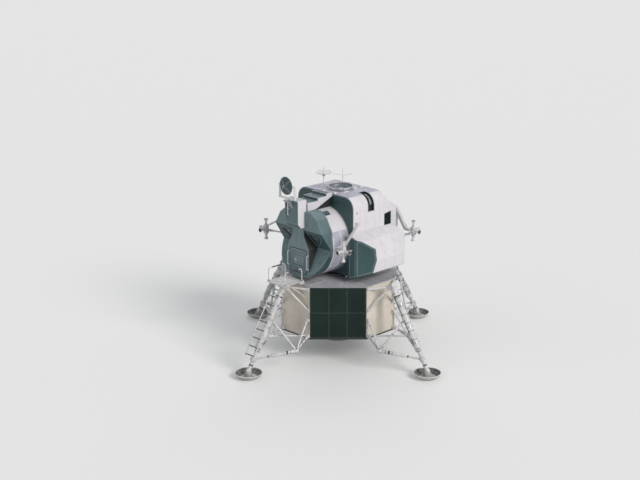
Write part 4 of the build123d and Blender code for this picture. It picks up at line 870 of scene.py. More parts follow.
def cabin_skins():
    """Slate face with darker brow and notch planes in painted shade and paler front planes and tops in
    painted light, a pale barrel with painted shade on its lower sides, and grey walls inside both.
    """
    def inner(n, c):
        return inward(n, c, 2, AXIS) & (np.abs(n[1]) < 0.3)

    # Upright side walls of the face's middle box, black as painted shadow.
    def keel_side(n, c):
        return (n[0] * np.sign(c[0]) > 0.85) & (np.abs(c[0]) < 0.55) & (c[2] < AXIS + 0.45)

    # By the way a face points: dark slate on downward and aft faces is painted shade, pale slate on the front
    # plane and the tops is painted light.
    finishes = ["slate_panel", "slate_dark", "slate_pale", "interior_grey", "seal_black"]
    skin("cabin_face", finishes, 0.006, 20.0,
         [(1, facing(2, -0.25)), (2, lambda n, c: (n[1] < -0.97) & (c[1] < FACE_FRONT + 0.01)),
          (2, lambda n, c: (n[2] > 0.5) & (c[2] > 5.0)), (3, lambda n, c: (n[1] > 0.3) | inner(n, c)),
          (1, lambda n, c: (n[1] > 0.9) & (c[1] > FACE_BACK - 0.01)), (4, keel_side)])
    # The barrel's faces below the top are lavender as painted shade.
    skin("cabin_barrel", ["white_panel", "lavender_painted_shade", "interior_grey"], 0.004, 40.0,
         [(1, lambda n, c: n[2] < 0.45), (2, inner)])
    # The hatch's front faces are pale slate as painted light.
    skin("forward_hatch", ["slate_panel", "slate_pale"], 0.006, 32.0, [(1, facing(1, -0.97))])


def bay_skins():
    """White bays whose front faces and undersides are dark slate as painted shade, the spine's fairing and
    the nose box, both with painted light and painted shade by the way a face points.
    """
    # Painted shade: dark slate on the front faces and undersides of the tank bays.
    for name in ("tank_bay_port", "tank_bay_starboard"):
        skin(name, ["white_panel", "slate_dark"], 0.02, 20.0, [(1, facing(1, -0.35)), (1, facing(2, -0.5))])
    # Aft bay: dark slate on front faces and undersides is painted shade; its aft faces are the rack's slate.
    skin("aft_bay", ["white_panel", "slate_dark", "slate_panel"], 0.014, 20.0,
         [(1, facing(1, -0.5)), (1, facing(2, -0.5)), (2, facing(1, 0.9))])
    # Spine: lavender top and dark slate front are painted shade, black underside is painted shadow.
    skin("spine_fairing", ["white_panel", "lavender_painted_shade", "slate_dark", "seal_black"], 0.01, 20.0,
         [(1, facing(2, 0.8)), (2, facing(1, -0.7)), (3, facing(2, -0.6))])

    # The nose box's slot, dark blue as painted shade.
    def slot(n, c):
        return within(c, (0, -0.275, -0.085), (1, NOSE_FRONT + 0.003, NOSE_FRONT + 0.05),
                      (2, NOSE_TOP - 0.57, NOSE_TOP - 0.045))

    # Nose box: the white port side is painted light; lavender top, dark slate underside and blue slot are
    # painted shade.
    skin("nose_box", ["slate_panel", "white_panel", "lavender_painted_shade", "slate_dark", "slot_painted_shade"], 0.01, 20.0,
         [(1, facing(0, 0.8)), (2, facing(2, 0.8)), (3, facing(2, -0.3)), (4, slot)])


def engine_skins():
    """Coated bells whose insides are dark with soot."""
    skin("descent_engine", ["nozzle_metal", "bell_inside"], 0.003, 40.0,
         [(1, lambda n, c: inward(n, c, 1) & (c[2] < 2.4) & (np.hypot(c[0], c[1]) < 0.66) & (n[2] < 0.2))])
    skin("ascent_engine", ["nozzle_metal", "bell_inside"], 0.003, 40.0,
         [(1, lambda n, c: inward(n, c, 1) & (c[2] < 2.97))])
    skin("blast_deflector", ["deck_soot"], 0.004)


def gimbal_skins():
    """Brackets and ring of the engine's gimbal, the ring's pins thinned so that their facets turn freely."""
    skin("engine_mount", ["bare_metal"], 0.0)
    mesh = skin("gimbal_ring", ["bare_metal"], 0.0).data
    pin_end, pin_r, thinned = 0.40, 0.0265, 0.985
    points = columns(mesh.vertices, "co").T.copy()
    pins = (np.abs(points[:, 0]) > pin_end) & (np.hypot(points[:, 1], points[:, 2] - GIMBAL) < pin_r)
    axis = points[pins] * (1, 0, 0) + (0, 0, GIMBAL)
    points[pins] = axis + (points[pins] - axis) * thinned
    mesh.vertices.foreach_set("co", points.ravel())


def pad_skins():
    """Dished pads, bright outside, and darker inside the dish as painted shade."""
    for name, way in zip(("front", "port", "aft", "starboard"), spokes(4, 270)):
        x, y, _ = way * STRUT_FOOT[0]

        def dish(n, c):
            return (n[2] > 0.2) & (c[2] < 0.165) & (np.hypot(c[0] - x, c[1] - y) > 0.12)

        skin(f"footpad_{name}", ["pad_metal", "pad_inside_shade"], 0.004, 25.0, [(1, dish)])


def radar_skins():
    """White dish whose slate bowl is painted shade, and the roof's hatch, whose dark slate top and black
    walls are painted shade.
    """
    def bowl(n, c):
        return (n[1] < -0.3) & (np.hypot(c[0], c[2] - DISH[1]) < 0.296) & (c[1] > DISH[0] - 0.05)

    skin("radar_dish", ["antenna_white", "dish_bowl_shade"], 0.002, 35.0, [(1, bowl)])
    skin("docking_hatch", ["bare_metal", "slate_dark", "seal_black"], 0.004, 32.0,
         [(1, facing(2, 0.9)), (2, lambda n, c: np.abs(n[2]) < 0.3)])


def dress_frame():
    """The skins with several finishes, and a plain one in its slot's finish for every node still bare.

    The thruster clusters get their surfaces later.
    """
    for dress in (midsection_skin, cabin_skins, bay_skins, engine_skins, pad_skins, radar_skins,
                  gimbal_skins):
        dress()
    for name in sorted(set(nodes) - dressed):
        if not name.startswith("rcs_cluster"):
            fine = slot_of_node[name] in ("strut_white", "antenna_white", "bare_metal")
            skin(name, [slot_of_node[name]], 0.0025 if fine else 0.006)


# Descent stage
STRIP = 0.046


def octagon_corners(face):
    """Corners of the body's outline for a distance of its leg faces."""
    half = (SLANT_FACE - (LEG_FACE - face)) * sqrt(2) - face
    return np.array([(face, -half), (face, half), (half, face), (-half, face),
                     (-face, half), (-face, -half), (-half, -face), (half, -face)])


def body_foil():
    """Crumpled foil in every field of the eight side panels, and rivets along the strips between them."""
    slant_half = (LEG_FACE - LEG_FACE_HALF) / sqrt(2) - 0.0144
    # Slanted panels dark green as painted shade; leg bays cream, their own pale tone warmed as painted light.
    sides = (("quadrant_foil", 45, SLANT_FACE, slant_half, 3, 2, "green_foil_painted_shade", "dark_green_panel", 0.008),
             ("leg_bay_foil", 0, LEG_FACE, LEG_FACE_HALF - 0.0144, 2, 3, "cream_foil", "cream_panel", 0.0045))
    for name, start, face, half, across, rows, finish, slot, height in sides:
        foil, rivets = piles(2)
        x = np.linspace(STRIP / 2 - half, half - STRIP / 2, across + 1)
        z = np.linspace(BODY_LOW + 0.0733, DECK - 0.0633, rows + 1)
        wide, tall = x[1] - x[0] - STRIP, z[1] - z[0] - STRIP
        for quarter in QUARTERS:
            foil.turn = rivets.turn = start + 90 * quarter
            for number, (left, low) in enumerate(product(x[:-1] + STRIP / 2, z[:-1] + STRIP / 2)):
                foil.foil((left - 0.002, 0.013 - face, low - 0.002), (wide + 0.004, 0, 0),
                          (0, 0, tall + 0.004), FRONT, height, 40 * quarter + number + across, 0.028, 0.008)
            for at in x:
                row = spaced((at, -face, BODY_LOW + 0.08), (at, -face, DECK - 0.07), 0.085)
                rivets.domes(row, FRONT, 0.008, 0.004)
            for at, left in product(z, x[:-1] + STRIP / 2):
                row = spaced((left, -face, at), (left + wide, -face, at), 0.085, 0.03)
                rivets.domes(row, FRONT, 0.008, 0.004)
        foil.make(name, finish, slot, BASE, sharp=28)
        rivets.make(f"{name}_rivets", "rivet", "bare_metal", BASE, sharp=60)


def deck_details():
    """Edge trim, seams, soot ring and tie-down rings on the upper deck, with their studs."""
    trim, lines, studs, soot = piles(4)
    corners = np.insert(octagon_corners(LEG_FACE - 0.004), 2, DECK, 1)
    for a, b in zip(corners, np.roll(corners, -1, 0)):
        trim.bar(a, b, UP, 0.07, 0.007, 0.003)
        studs.domes(spaced(a * (0.975, 0.975, 1), b * (0.975, 0.975, 1), 0.14, 0.07), UP, 0.011, 0.006)
    for quarter in QUARTERS:
        turn_to(quarter, lines, studs)
        for x in (-0.62, 0.0, 0.62):
            lines.bar((x, -1.96, DECK), (x, -1.22 if x else -0.66, DECK), UP, 0.045, 0.006, 0.003)
        lines.bar((-0.62, -1.22, DECK), (0.62, -1.22, DECK), UP, 0.045, 0.006, 0.003)
        studs.domes(spaced((-0.58, -1.22, DECK + 0.006), (0.58, -1.22, DECK + 0.006), 0.1), UP, 0.008, 0.004)
        for x in (-1.2, -0.9, 0.9, 1.2):
            lines.tube((x, -1.35, DECK - 0.004) + upright(arc(0, 180, 13)) * (0.045, 0, 0.05), 0.007, 8)
    soot.lathe((0, 0, DECK), UP, [(0.562, 0), (0.562, 0.012), (0.60, 0.016), (0.665, 0.012), (0.672, -0.001),
                                  (0.562, -0.001)], 96)
    turn_to(0, studs)
    studs.domes((0, 0, DECK + 0.013) + 0.632 * spokes(40), UP, 0.012, 0.007)
    trim.make("deck_trim", "batten", "deck_white", BASE)
    lines.make("deck_seams", "strut_white", "deck_white", BASE)
    studs.make("deck_studs", "rivet", "bare_metal", BASE, sharp=60)
    soot.make("blast_rim", "nozzle_metal", "bare_metal", BASE)


def underside_details():
    """Crumpled shield blankets under the body, battens between them, and a bolted ring at the engine well."""
    blankets, battens, studs = piles(3)
    for quarter in QUARTERS:
        turn_to(quarter, blankets, battens, studs)
        for corner, wide, deep, seed in (((-0.66, -2.0), 1.32, 1.16, 300), ((0.72, -1.25), 0.53, 0.5, 309)):
            blankets.foil((*corner, BODY_LOW), (wide, 0, 0), (0, deep, 0), DOWN, 0.009, seed + quarter,
                          0.05, 0.01)
        for x in (-0.69, 0.69):
            battens.bar((x, -2.02, BODY_LOW), (x, -0.8, BODY_LOW), DOWN, 0.05, 0.016, 0.004)
            row = spaced((x, -1.98, BODY_LOW - 0.016), (x, -0.84, BODY_LOW - 0.016), 0.1)
            studs.domes(row, DOWN, 0.009, 0.005)
    turn_to(0, studs)
    studs.domes((0, 0, BODY_LOW - 0.03) + 0.715 * spokes(48), DOWN, 0.011, 0.006)
    blankets.make("shield_blankets", "dark_structure", "dark_structure", BASE, sharp=28)
    battens.make("shield_battens", "batten", "bare_metal", BASE)
    studs.make("shield_studs", "rivet", "bare_metal", BASE, sharp=60)


# Landing gear, in the frame of the front leg and turned to the others
def on_strut(share):
    """Point on the axis of the front leg's strut."""
    (y0, z0), (y1, z1) = STRUT_TOP, STRUT_FOOT
    return np.array([0.0, -(y0 + (y1 - y0) * share), z0 + (z1 - z0) * share])


LEG_WAY = unit(on_strut(1) - on_strut(0))
LEG_LENGTH = np.linalg.norm(on_strut(1) - on_strut(0))
EYE = np.array([0.626, -2.1103, 0.0])
EYES_Z = (1.07, 1.65)


def band(pile, start, end, place, radius, length, rise=0.006, sides=20):
    """Sleeve round a tube, its middle at place metres from the start, or from the end if negative."""
    start, end = np.asarray(start, float), np.asarray(end, float)
    way = unit(end - start)
    middle = (start if place >= 0 else end) + way * place
    pile.hoop(middle - way * length / 2, way, radius - 0.002, radius + rise, length, 0.004, sides)


def truss_tubes():
    """Tubes of one side of a leg's truss, as (start, end, radius)."""
    low, high = (EYE + z * UP for z in EYES_Z)
    return [(KNEE, low + (0.03, 0, 0), 0.034), (KNEE, high, 0.034), (KNEE, on_strut(0.36), 0.034),
            (low + (-0.032, 0, 0.01), on_strut(0.58), 0.0272)]


def side_fittings(bands, dark, studs, side):
    """Ferrules, sleeves, caps and bolts on one side of a leg's truss."""
    for start, end, radius in truss_tubes():
        for place in (0.15, np.linalg.norm(end - start) * 0.5, -0.19):
            band(bands, mirror(start, side), mirror(end, side), place, radius, 0.06)
    knee, goal = mirror(KNEE, side), on_strut(0.86)
    span = np.linalg.norm(goal - knee)
    for pile, share, radius, length, rise in (
            (bands, 0.14, 0.056, 0.045, 0.007), (bands, 0.30, 0.056, 0.045, 0.007),
            (dark, 0.66, 0.038, 0.05, 0.003), (dark, 0.22, 0.056, 0.07, 0.002)):
        band(pile, knee, goal, share * span, radius, length, rise, 24)
    cap = np.array([(0, 0), (0.036, 0), (0.046, 0.006), (0.046, 0.03), (0, 0.03)])
    bands.lathe(knee - (0, 0, 0.088), UP, cap, 24)
    bands.lathe(knee + (0, 0, 0.088), DOWN, cap, 24)
    for z, dx, dz in product(EYES_Z, (-0.045, 0.045), (-0.035, 0.035)):
        studs.domes((side * (EYE[0] + dx), -2.158, z + dz), FRONT, 0.010, 0.008)
    head = np.array([side * (LEG_FACE_HALF - 0.084), -(LEG_FACE + 0.042), DECK])
    for drop, dx, dz in product((0.11, 0.85), (-0.042, 0.042), (-0.042, 0.042)):
        studs.domes(head + (dx, 0, dz - drop), FRONT, 0.009, 0.007)


def gear_details():
    """Bands, bolted rings and a clipped line on the struts, and fittings on every truss."""
    bands, dark, studs, lines = piles(4)
    foot, length = on_strut(1), LEG_LENGTH
    for quarter in QUARTERS:
        turn_to(quarter, bands, dark, studs, lines)
        for share in (0.06, 0.20, 0.47, 0.66):
            band(bands, on_strut(0), foot, share * length, STRUT_R, 0.05, 0.008, 32)
            ring_of(studs, on_strut(share), LEG_WAY, STRUT_R + 0.008, 16, 0.007, 0.005)
        for share, radius, wide in ((0.10, STRUT_R, 0.05), (0.735, PISTON_R, 0.03), (0.76, PISTON_R, 0.03),
                                    (0.93, PISTON_R, 0.05)):
            band(dark, on_strut(0), foot, share * length, radius, wide, 0.002, 32)
        for (share, radius), shift in product(((0.36, 0.129), (0.58, 0.129), (0.86, 0.106)), (-0.035, 0.035)):
            ring_of(studs, on_strut(share) + LEG_WAY * shift, LEG_WAY, radius, 12, 0.009, 0.007)
        for side in SIDES:
            side_fittings(bands, dark, studs, side)
        if quarter:
            slack = np.linspace(0.08, 0.66, 40)
            lift = (0.112 + 0.004 * np.cos(slack * 60))[:, None] * axes_of(LEG_WAY)[1]
            lines.tube([on_strut(share) for share in slack] + lift, 0.008, 8)
            for share in np.arange(0.12, 0.66, 0.1):
                band(dark, on_strut(0), foot, share * length, STRUT_R, 0.016, 0.013, 32)
    bands.make("gear_bands", "bare_metal", "bare_metal", BASE)
    dark.make("gear_dark_bands", "strut_dark", "dark_structure", BASE)
    studs.make("gear_studs", "rivet", "bare_metal", BASE, sharp=60)
    lines.make("gear_lines", "seal_black", "dark_structure", BASE)


def pad_details():
    """Rolled rim, radial ribs and bolted socket ring of each footpad."""
    rim, ribs, studs = piles(3)
    centre = np.array([0.0, -STRUT_FOOT[0], 0.0])
    roll = arc(0, 360, 9)
    for quarter in QUARTERS:
        turn_to(quarter, rim, ribs, studs)
        rim.lathe(centre, UP, np.stack([0.457 + 0.013 * np.cos(roll), 0.176 + 0.011 * np.sin(roll)], -1), 72)
        rim.lathe(centre, UP, [(0.20, 0.024), (0.204, 0.032), (0.222, 0.032), (0.226, 0.024),
                               (0.20, 0.024)], 48)
        for out in spokes(12, 15):
            foot = centre + 0.027 * UP
            ribs.bar(foot + 0.135 * out, foot + 0.29 * out, UP, 0.012, 0.02, 0.003)
            low, high = centre + 0.288 * out + 0.03 * UP, centre + 0.404 * out + 0.116 * UP
            ribs.bar(low, high, np.cross(high - low, np.cross(out, UP)), 0.012, 0.012, 0.003)
        ring_of(studs, centre + (0, 0, 0.06), UP, 0.127, 10, 0.009, 0.006)
    rim.make("pad_rims", "antenna_white", "pad_metal", BASE)
    ribs.make("pad_ribs", "pad_metal", "pad_metal", BASE)
    studs.make("pad_studs", "rivet", "bare_metal", BASE, sharp=60)


# Ladder and porch of the front leg
PORCH = 3.005
PORCH_LOW = 2.975
HANDRAIL = {"x": 0.408, "top": 3.45, "back": -2.135, "front": -2.90}
RUNG_FIRST = 0.829
RUNG_STEP = 0.3


def ladder_point(share, side):
    """Point on a ladder rail beside a share of the strut."""
    return on_strut(share) + (side * 0.215, 0, 0) + 0.23 * np.array([0, LEG_WAY[2], -LEG_WAY[1]])


def grip(pile, start, end, count, radius, ripple, sides):
    """Ribbed sleeve from start to end, its radius swinging by ripple from ring to ring."""
    path = np.linspace(start, end, count)
    pile.tube(path, radius + ripple * np.cos(np.arange(count) * np.pi), sides)


def porch_details():
    """Ribbed sleeves on the rungs, end caps on the rails, grips on the handrails and bolts on the porch."""
    sleeves, metal, studs = piles(3)
    for n in range(8):
        share = RUNG_FIRST - n * RUNG_STEP / LEG_LENGTH
        middle = ladder_point(share, 0)
        grip(sleeves, middle - (0.16, 0, 0), middle + (0.16, 0, 0), 65, 0.0165, 0.0022, 12)
        for side in SIDES:
            metal.lathe(ladder_point(share, side) - (side * 0.034, 0, 0), (side, 0, 0),
                        [(0, 0), (0.021, 0), (0.024, 0.006), (0.024, 0.014), (0, 0.014)], 16)
    for side in SIDES:
        low, high = ladder_point(RUNG_FIRST + 0.012, side), ladder_point(0.045, side)
        for end, way in ((low, low - high), (high, high - low)):
            metal.lathe(end, way, [(0, -0.03), (0.022, -0.03), (0.022, 0.004), (0.014, 0.012),
                                   (0, 0.012)], 20)
        for share in (0.18, 0.42, 0.66):
            band(metal, high, low, share * np.linalg.norm(low - high), 0.019, 0.06, 0.003, 20)
        x, (top, back, front) = side * HANDRAIL["x"], (HANDRAIL[key] for key in ("top", "back", "front"))
        grip(sleeves, (x, back - 0.16, top), (x, front + 0.16, top), 49, 0.0195, 0.002, 14)
        for y in (back, front):
            metal.lathe((x, y, PORCH), UP, [(0, 0), (0.04, 0), (0.04, 0.008), (0.024, 0.014), (0.024, 0.05),
                                            (0, 0.05)], 24)
            for a in (0.8, 2.37, 3.94, 5.5):
                studs.domes((x + 0.03 * cos(a), y + 0.03 * sin(a), PORCH + 0.008), UP, 0.005, 0.004)
        for y in np.linspace(-2.94, -2.1, 9):
            studs.domes((side * 0.415, y, PORCH), UP, 0.008, 0.005)
    for y in (-2.93, -2.10):
        studs.domes(spaced((-0.36, y, PORCH), (0.36, y, PORCH), 0.09), UP, 0.008, 0.005)
    for y in np.linspace(-2.80, -2.24, 4):
        metal.bar((-0.38, y, PORCH_LOW), (0.38, y, PORCH_LOW), DOWN, 0.03, 0.02, 0.004)
    sleeves.make("grip_sleeves", "strut_dark", "dark_structure", BASE)
    metal.make("porch_fittings", "bare_metal", "bare_metal", BASE)
    studs.make("porch_studs", "rivet", "bare_metal", BASE, sharp=60)


# Outside of the ascent stage
def over_edge(y, low, reach, flip=1):
    """Path over one long edge of the midsection at y, and its normals.

    It climbs from the height low, turns as centre + EDGE_R * (cos a, 0, sin a), and runs over the roof to
    reach.
    """
    out = upright(arc(0, 90, 9))
    path = np.array([MID_HALF - EDGE_R, y, ROOF - EDGE_R]) + EDGE_R * out
    path = np.concatenate([[[MID_HALF, y, low]], path, [[reach, y, ROOF]]])
    return mirror(path, flip), mirror(np.concatenate([out[:1], out, out[-1:]]), flip)


def front_edge(inset, low, flip):
    """Path on the midsection's front that follows its outer edge at a distance of inset."""
    path, out = over_edge(MID_FRONT, low, 0.40, flip)
    return path - out * inset


def midsection_details():
    """Hoops over the long edges, side and roof seams, and rims on the front, whose dark slate is painted
    shade.
    """
    plates, roof, heads, dark, dark_heads, thin = piles(6)
    for flip, (y, reach) in product(FLIPS, ((-0.593, 0.012), (0.02, 0.58), (0.46, 0.58), (0.865, 0.012))):
        path, out = over_edge(y, BAY_TOP, reach, flip)
        for pile, part in ((plates, slice(8)), (roof, slice(7, None))):
            riveted_strap(pile, heads, path[part], out[part], 0.045, rows=(-0.012, 0.012))
    for flip in FLIPS:
        side = (flip, 0, 0)
        seams(plates, heads, [((flip * MID_HALF, -0.57, 5.0), (flip * MID_HALF, 0.84, 5.0))], side)
        seams(roof, heads, [((flip * x, start, ROOF), (flip * x, end, ROOF)) for x, start, end in
                            ((0.66, -0.57, 0.84), (0.95, -0.57, 0.0), (0.95, 0.48, 0.84))], UP)
        for y in (-0.30, 0.66):
            thin.bar((flip * MID_HALF, y, BAY_TOP), (flip * MID_HALF, y, ROOF - EDGE_R), side, 0.007, 0.0015)
        riveted_strap(dark, dark_heads, front_edge(0.035, 3.2, flip), FRONT, 0.05)
        riveted_strap(dark, dark_heads, front_edge(0.15, 4.95, flip), FRONT, 0.014, rows=())
        ring = (0, MID_FRONT, AXIS) + mirror((CABIN_R + 0.03) * upright(arc(-64, 69, 30)), flip)
        riveted_strap(dark, dark_heads, ring, FRONT, 0.045)
    for start, end in ((-0.57, -0.42), (0.66, 0.84)):
        thin.bar((0, start, ROOF), (0, end, ROOF), UP, 0.007, 0.0015)
    plates.make("midsection_battens", "white_panel")
    # Roof battens in the roof's lavender painted shade.
    roof.make("roof_battens", "lavender_painted_shade")
    heads.make("midsection_rivets", "batten")
    # Slate rims on the front, whose dark slate is painted shade.
    dark.make("midsection_front_rims", "slate_panel")
    dark_heads.make("midsection_front_rivets", "batten")
    thin.make("midsection_thin_seams", "batten")


def roof_fittings():
    """Rails, vents, lamps and a cable on the roof and the sides of the midsection."""
    rails, boxes, dark, lamps, lens = piles(5)
    for x0, x1, y in ((-0.86, -0.70, -0.30), (0.74, 0.90, -0.34), (0.74, 0.90, 0.70)):
        foot = [(0, -0.002), (0.024, -0.002), (0.024, 0.006), (0.010, 0.010), (0.010, 0.03), (0, 0.03)]
        for x in (x0, x1):
            rails.lathe((x, y, ROOF), UP, foot, 16)
        high = ROOF + 0.055
        rails.tube(bends([(x0, y, ROOF), (x0, y, high), (x1, y, high), (x1, y, ROOF)], 0.0225), 0.009, 12)
        for x in (x0, x1):
            rails.tube([(x, y, ROOF), (x, y, ROOF + 0.034)], 0.009, 12)
    for x, y, wide, deep, tall in ((0.30, -0.49, 0.16, 0.10, 0.035), (-0.22, -0.50, 0.10, 0.08, 0.03),
                                   (0.30, 0.76, 0.20, 0.11, 0.04), (-0.22, 0.77, 0.09, 0.09, 0.05)):
        foot = np.array([(x + sx * wide / 2, y + sy * deep / 2, ROOF)
                         for sx, sy in ((-1, -1), (1, -1), (1, 1), (-1, 1))])
        boxes.prism(foot, UP, tall, 0.010)
        boxes.frame(foot, UP, -0.016, 0.002, 0.004)
        for at in x + np.linspace(-0.3, 0.3, 5) * wide:
            dark.bar((at, y - deep * 0.28, ROOF + tall), (at, y + deep * 0.28, ROOF + tall), UP,
                     0.007, 0.0015)
    for place, way in (((MID_HALF, -0.45, 5.22), (1, 0, 0)), ((-MID_HALF, -0.45, 5.22), (-1, 0, 0)),
                       ((0.56, -0.50, ROOF), UP), ((0.0, 1.80, 3.36), AFT)):
        lamps.lathe(place, way, [(0, -0.002), (0.034, -0.002), (0.034, 0.008), (0.024, 0.014),
                                 (0, 0.014)], 24)
        lens.lathe(place, way, [(0, 0.012), (0.022, 0.012), (0.020, 0.024), (0.012, 0.034), (0, 0.037)], 20)
    z = ROOF + 0.009
    path = bends([(-0.93, 0.16, z), (-0.93, -0.12, z), (-0.45, -0.28, z), (-0.45, -0.55, z)], 0.05)
    path = np.concatenate([[(-0.93, 0.16, z)], path, [(-0.45, -0.53, z)]])
    rails.tube(path, 0.008, 10)
    for at in spread_along(path, 0.13, 0.05):
        boxes.box(at - (0.014, 0.010, 0.012), at + (0.014, 0.010, 0.010))
    rails.make("roof_rails", "strut_white", sharp=40)
    boxes.make("roof_boxes", "white_panel", edge=0.002)
    dark.make("roof_box_slots", "seal_black")
    lamps.make("lamp_sockets", "bare_metal")
    lens.make("lamp_lenses", "lens_amber", sharp=60)


def docking_details():
    """Bolted ring and latches round the docking collar, and the ribs, valve and handle of its hatch."""
    ring, heads, latches = piles(3)
    foot = np.array([0, DOCK_Y, ROOF])
    ring.lathe(foot, UP, [(0.475, -0.002), (0.475, 0.016), (0.485, 0.010), (0.545, 0.006), (0.548, -0.002),
                          (0.475, -0.002)], 96)
    ring.lathe(foot, UP, [(0.468, 0.030), (0.480, 0.034), (0.480, 0.042), (0.468, 0.046), (0.468, 0.030)], 96)
    for count, radius, lift, size in ((36, 0.520, 0.006, 0.009), (48, 0.440, 0.100, 0.006)):
        heads.domes(foot + (0, 0, lift) + radius * spokes(count), UP, size, 0.006)
    for way in spokes(12, 15):
        side = np.cross(UP, way)
        low, pin, high = (foot + reach * way + lift * UP for reach, lift in
                          ((0.466, 0.052), (0.496, 0.070), (0.466, 0.088)))
        latches.prism([low - 0.022 * side, low + 0.022 * side, high + 0.022 * side, high - 0.022 * side],
                      way, 0.026, 0.006)
        latches.tube([pin - 0.030 * side, pin + 0.030 * side], 0.006, 10)
    ring.make("docking_ring", "bare_metal", "bare_metal", sharp=40)
    heads.make("docking_bolts", "rivet", "bare_metal")
    latches.make("docking_latches", "white_panel", "bare_metal", edge=0.0015)

    rim, bolts, ribs, handle = piles(4)
    rim.lathe(foot, UP, [(0.335, -0.002), (0.335, 0.007), (0.368, 0.007), (0.372, -0.002),
                         (0.335, -0.002)], 80)
    rim.lathe(foot, UP, [(0, -0.002), (0.075, -0.002), (0.075, 0.008), (0.055, 0.014), (0.030, 0.014),
                         (0.028, 0.030), (0, 0.032)], 40)
    bolts.domes(foot + (0, 0, 0.007) + 0.352 * spokes(30), UP, 0.007, 0.005)
    for way in spokes(8, 22.5):
        ribs.bar(foot + 0.085 * way, foot + 0.33 * way, UP, 0.018, 0.010, 0.003)
    x, y, low, high = 0.13, -0.06, ROOF - 0.002, ROOF + 0.048
    handle.tube(bent([(-x, y, low), (-x, y, high), (x, y, high), (x, y, low)], 0.02), 0.008, 12)
    # The slate ribs sit on the hatch top's painted shade.
    for pile, name, finish, edge, sharp in (
            (rim, "rim", "bare_metal", 0, 40), (bolts, "bolts", "rivet", 0, 35),
            (ribs, "ribs", "slate_panel", 0.001, 35), (handle, "handle", "strut_white", 0, 60)):
        pile.make(f"docking_hatch_{name}", finish, "bare_metal", "docking_hatch", edge, sharp)


def recess_details():
    """Lip round the recess of the port edge, and clips and a cable behind its bar."""
    lip, clips = piles(2)
    low, reach = 5.165, 0.855
    for y in (0.085, 0.395):
        lip.strap(*over_edge(y, low, reach), 0.022, 0.005)
    lip.bar((MID_HALF, 0.075, low), (MID_HALF, 0.405, low), (1, 0, 0), 0.022, 0.005, 0.001)
    lip.bar((reach, 0.075, ROOF), (reach, 0.405, ROOF), UP, 0.022, 0.005, 0.001)
    way = upright(arc(6, 84, 20))
    for y, radius in ((0.15, 0.010), (0.335, 0.014)):
        path = (MID_HALF - EDGE_R, y, ROOF - EDGE_R) + (EDGE_R - 0.09 + radius) * way
        clips.tube(path, radius, 10)
        for at in path[2:18:5]:
            clips.tube([at - (0, 0.024, 0), at + (0, 0.024, 0)], radius + 0.004, 10)
    lip.make("recess_lip", "batten")
    clips.make("recess_cables", "slate_pale", sharp=50)


def bay_lines(lines, node, wanted):
    """Two thin seams across each wide face of a tank bay, at a third and two thirds of its length."""
    for corners, normal in flat_faces(node, 0.2, wanted):
        inner = drawn_in(corners, normal, 0.067)
        low, high = inner[:, 1].min(), inner[:, 1].max()
        up = unit(np.cross(normal, AFT))
        reach = inner @ up
        for y in (low + (high - low) * share for share in (0.34, 0.67)):
            middle = y * AFT + normal * (inner[0] @ normal - normal[1] * y)
            middle = middle - up * (middle @ up)
            lines.bar(middle + up * reach.min(), middle + up * reach.max(), normal, 0.008, 0.0015)


def bay_details():
    """Rims and rivets of the tank bays, thin seams across them, and round covers on their sides."""
    # Faces that look forward or down carry painted shade, so their rims are slate; the rest are white.
    def dark(n):
        return n[1] < -0.35 or n[2] < -0.5

    for name, side, wide in (("port", 1, 2.2), ("starboard", -1, 1.95)):
        node = f"tank_bay_{name}"

        def outer(n):
            return n[0] * side > -0.9

        for shade, finish, shaded in (("white", "white_panel", False), ("dark", "slate_panel", True)):
            plates, heads = piles(2)
            faces = flat_faces(node, 0.05, lambda n: outer(n) and dark(n) == shaded)
            rims(plates, heads, faces, 0.022, 0.045)
            plates.make(f"{node}_rims_{shade}", finish)
            heads.make(f"{node}_rivets_{shade}", "batten")
        plates, heads, lines = piles(3)
        bay_lines(lines, node, lambda n: outer(n) and n[2] > -0.3 and abs(n[1]) < 0.3)
        for y, z, size in ((0.10, 3.95, 0.085), (0.52, 3.90, 0.055), (0.66, 3.90, 0.055)):
            out = unit((side * 0.997, 0, 0.075))
            foot = np.array([side * (wide - 0.03 * (z - 3.73) / 0.40), y, z])
            plates.lathe(foot, out, [(0, -0.004), (size, -0.004), (size, 0.004), (size * 0.86, 0.007),
                                     (0, 0.007)])
            heads.domes(foot + 0.007 * out + size * 0.72 * around(out, 8), out, 0.005, 0.004)
        plates.make(f"{node}_covers", "white_panel", sharp=40)
        heads.make(f"{node}_cover_screws", "rivet")
        lines.make(f"{node}_seams", "batten")


def aft_rims():
    """Rims and rivets of the aft bay and its rack."""
    plates, heads, dark, dark_heads = piles(4)
    outer = flat_faces("aft_bay", 0.3, lambda n: n[1] > 0.3 and n[2] > 0.3 or abs(n[0]) > 0.9)
    rims(plates, heads, outer, 0.03)
    slope = [((x, 0.945, 5.5695), (x, 1.755, 5.03)) for x in (-0.6, 0.0, 0.6)]
    seams(plates, heads, slope, (0, 0.5547, 0.832))
    # Slate rims on the undersides follow their painted shade; on the aft faces they match the rack.
    rims(dark, dark_heads, flat_faces("aft_bay", 0.1, lambda n: n[2] < -0.9 or n[1] > 0.9), 0.02, 0.03)
    plates.make("aft_bay_rims", "white_panel")
    heads.make("aft_bay_rivets", "batten")
    dark.make("aft_rack_rims", "slate_panel")
    dark_heads.make("aft_rack_rivets", "rivet")


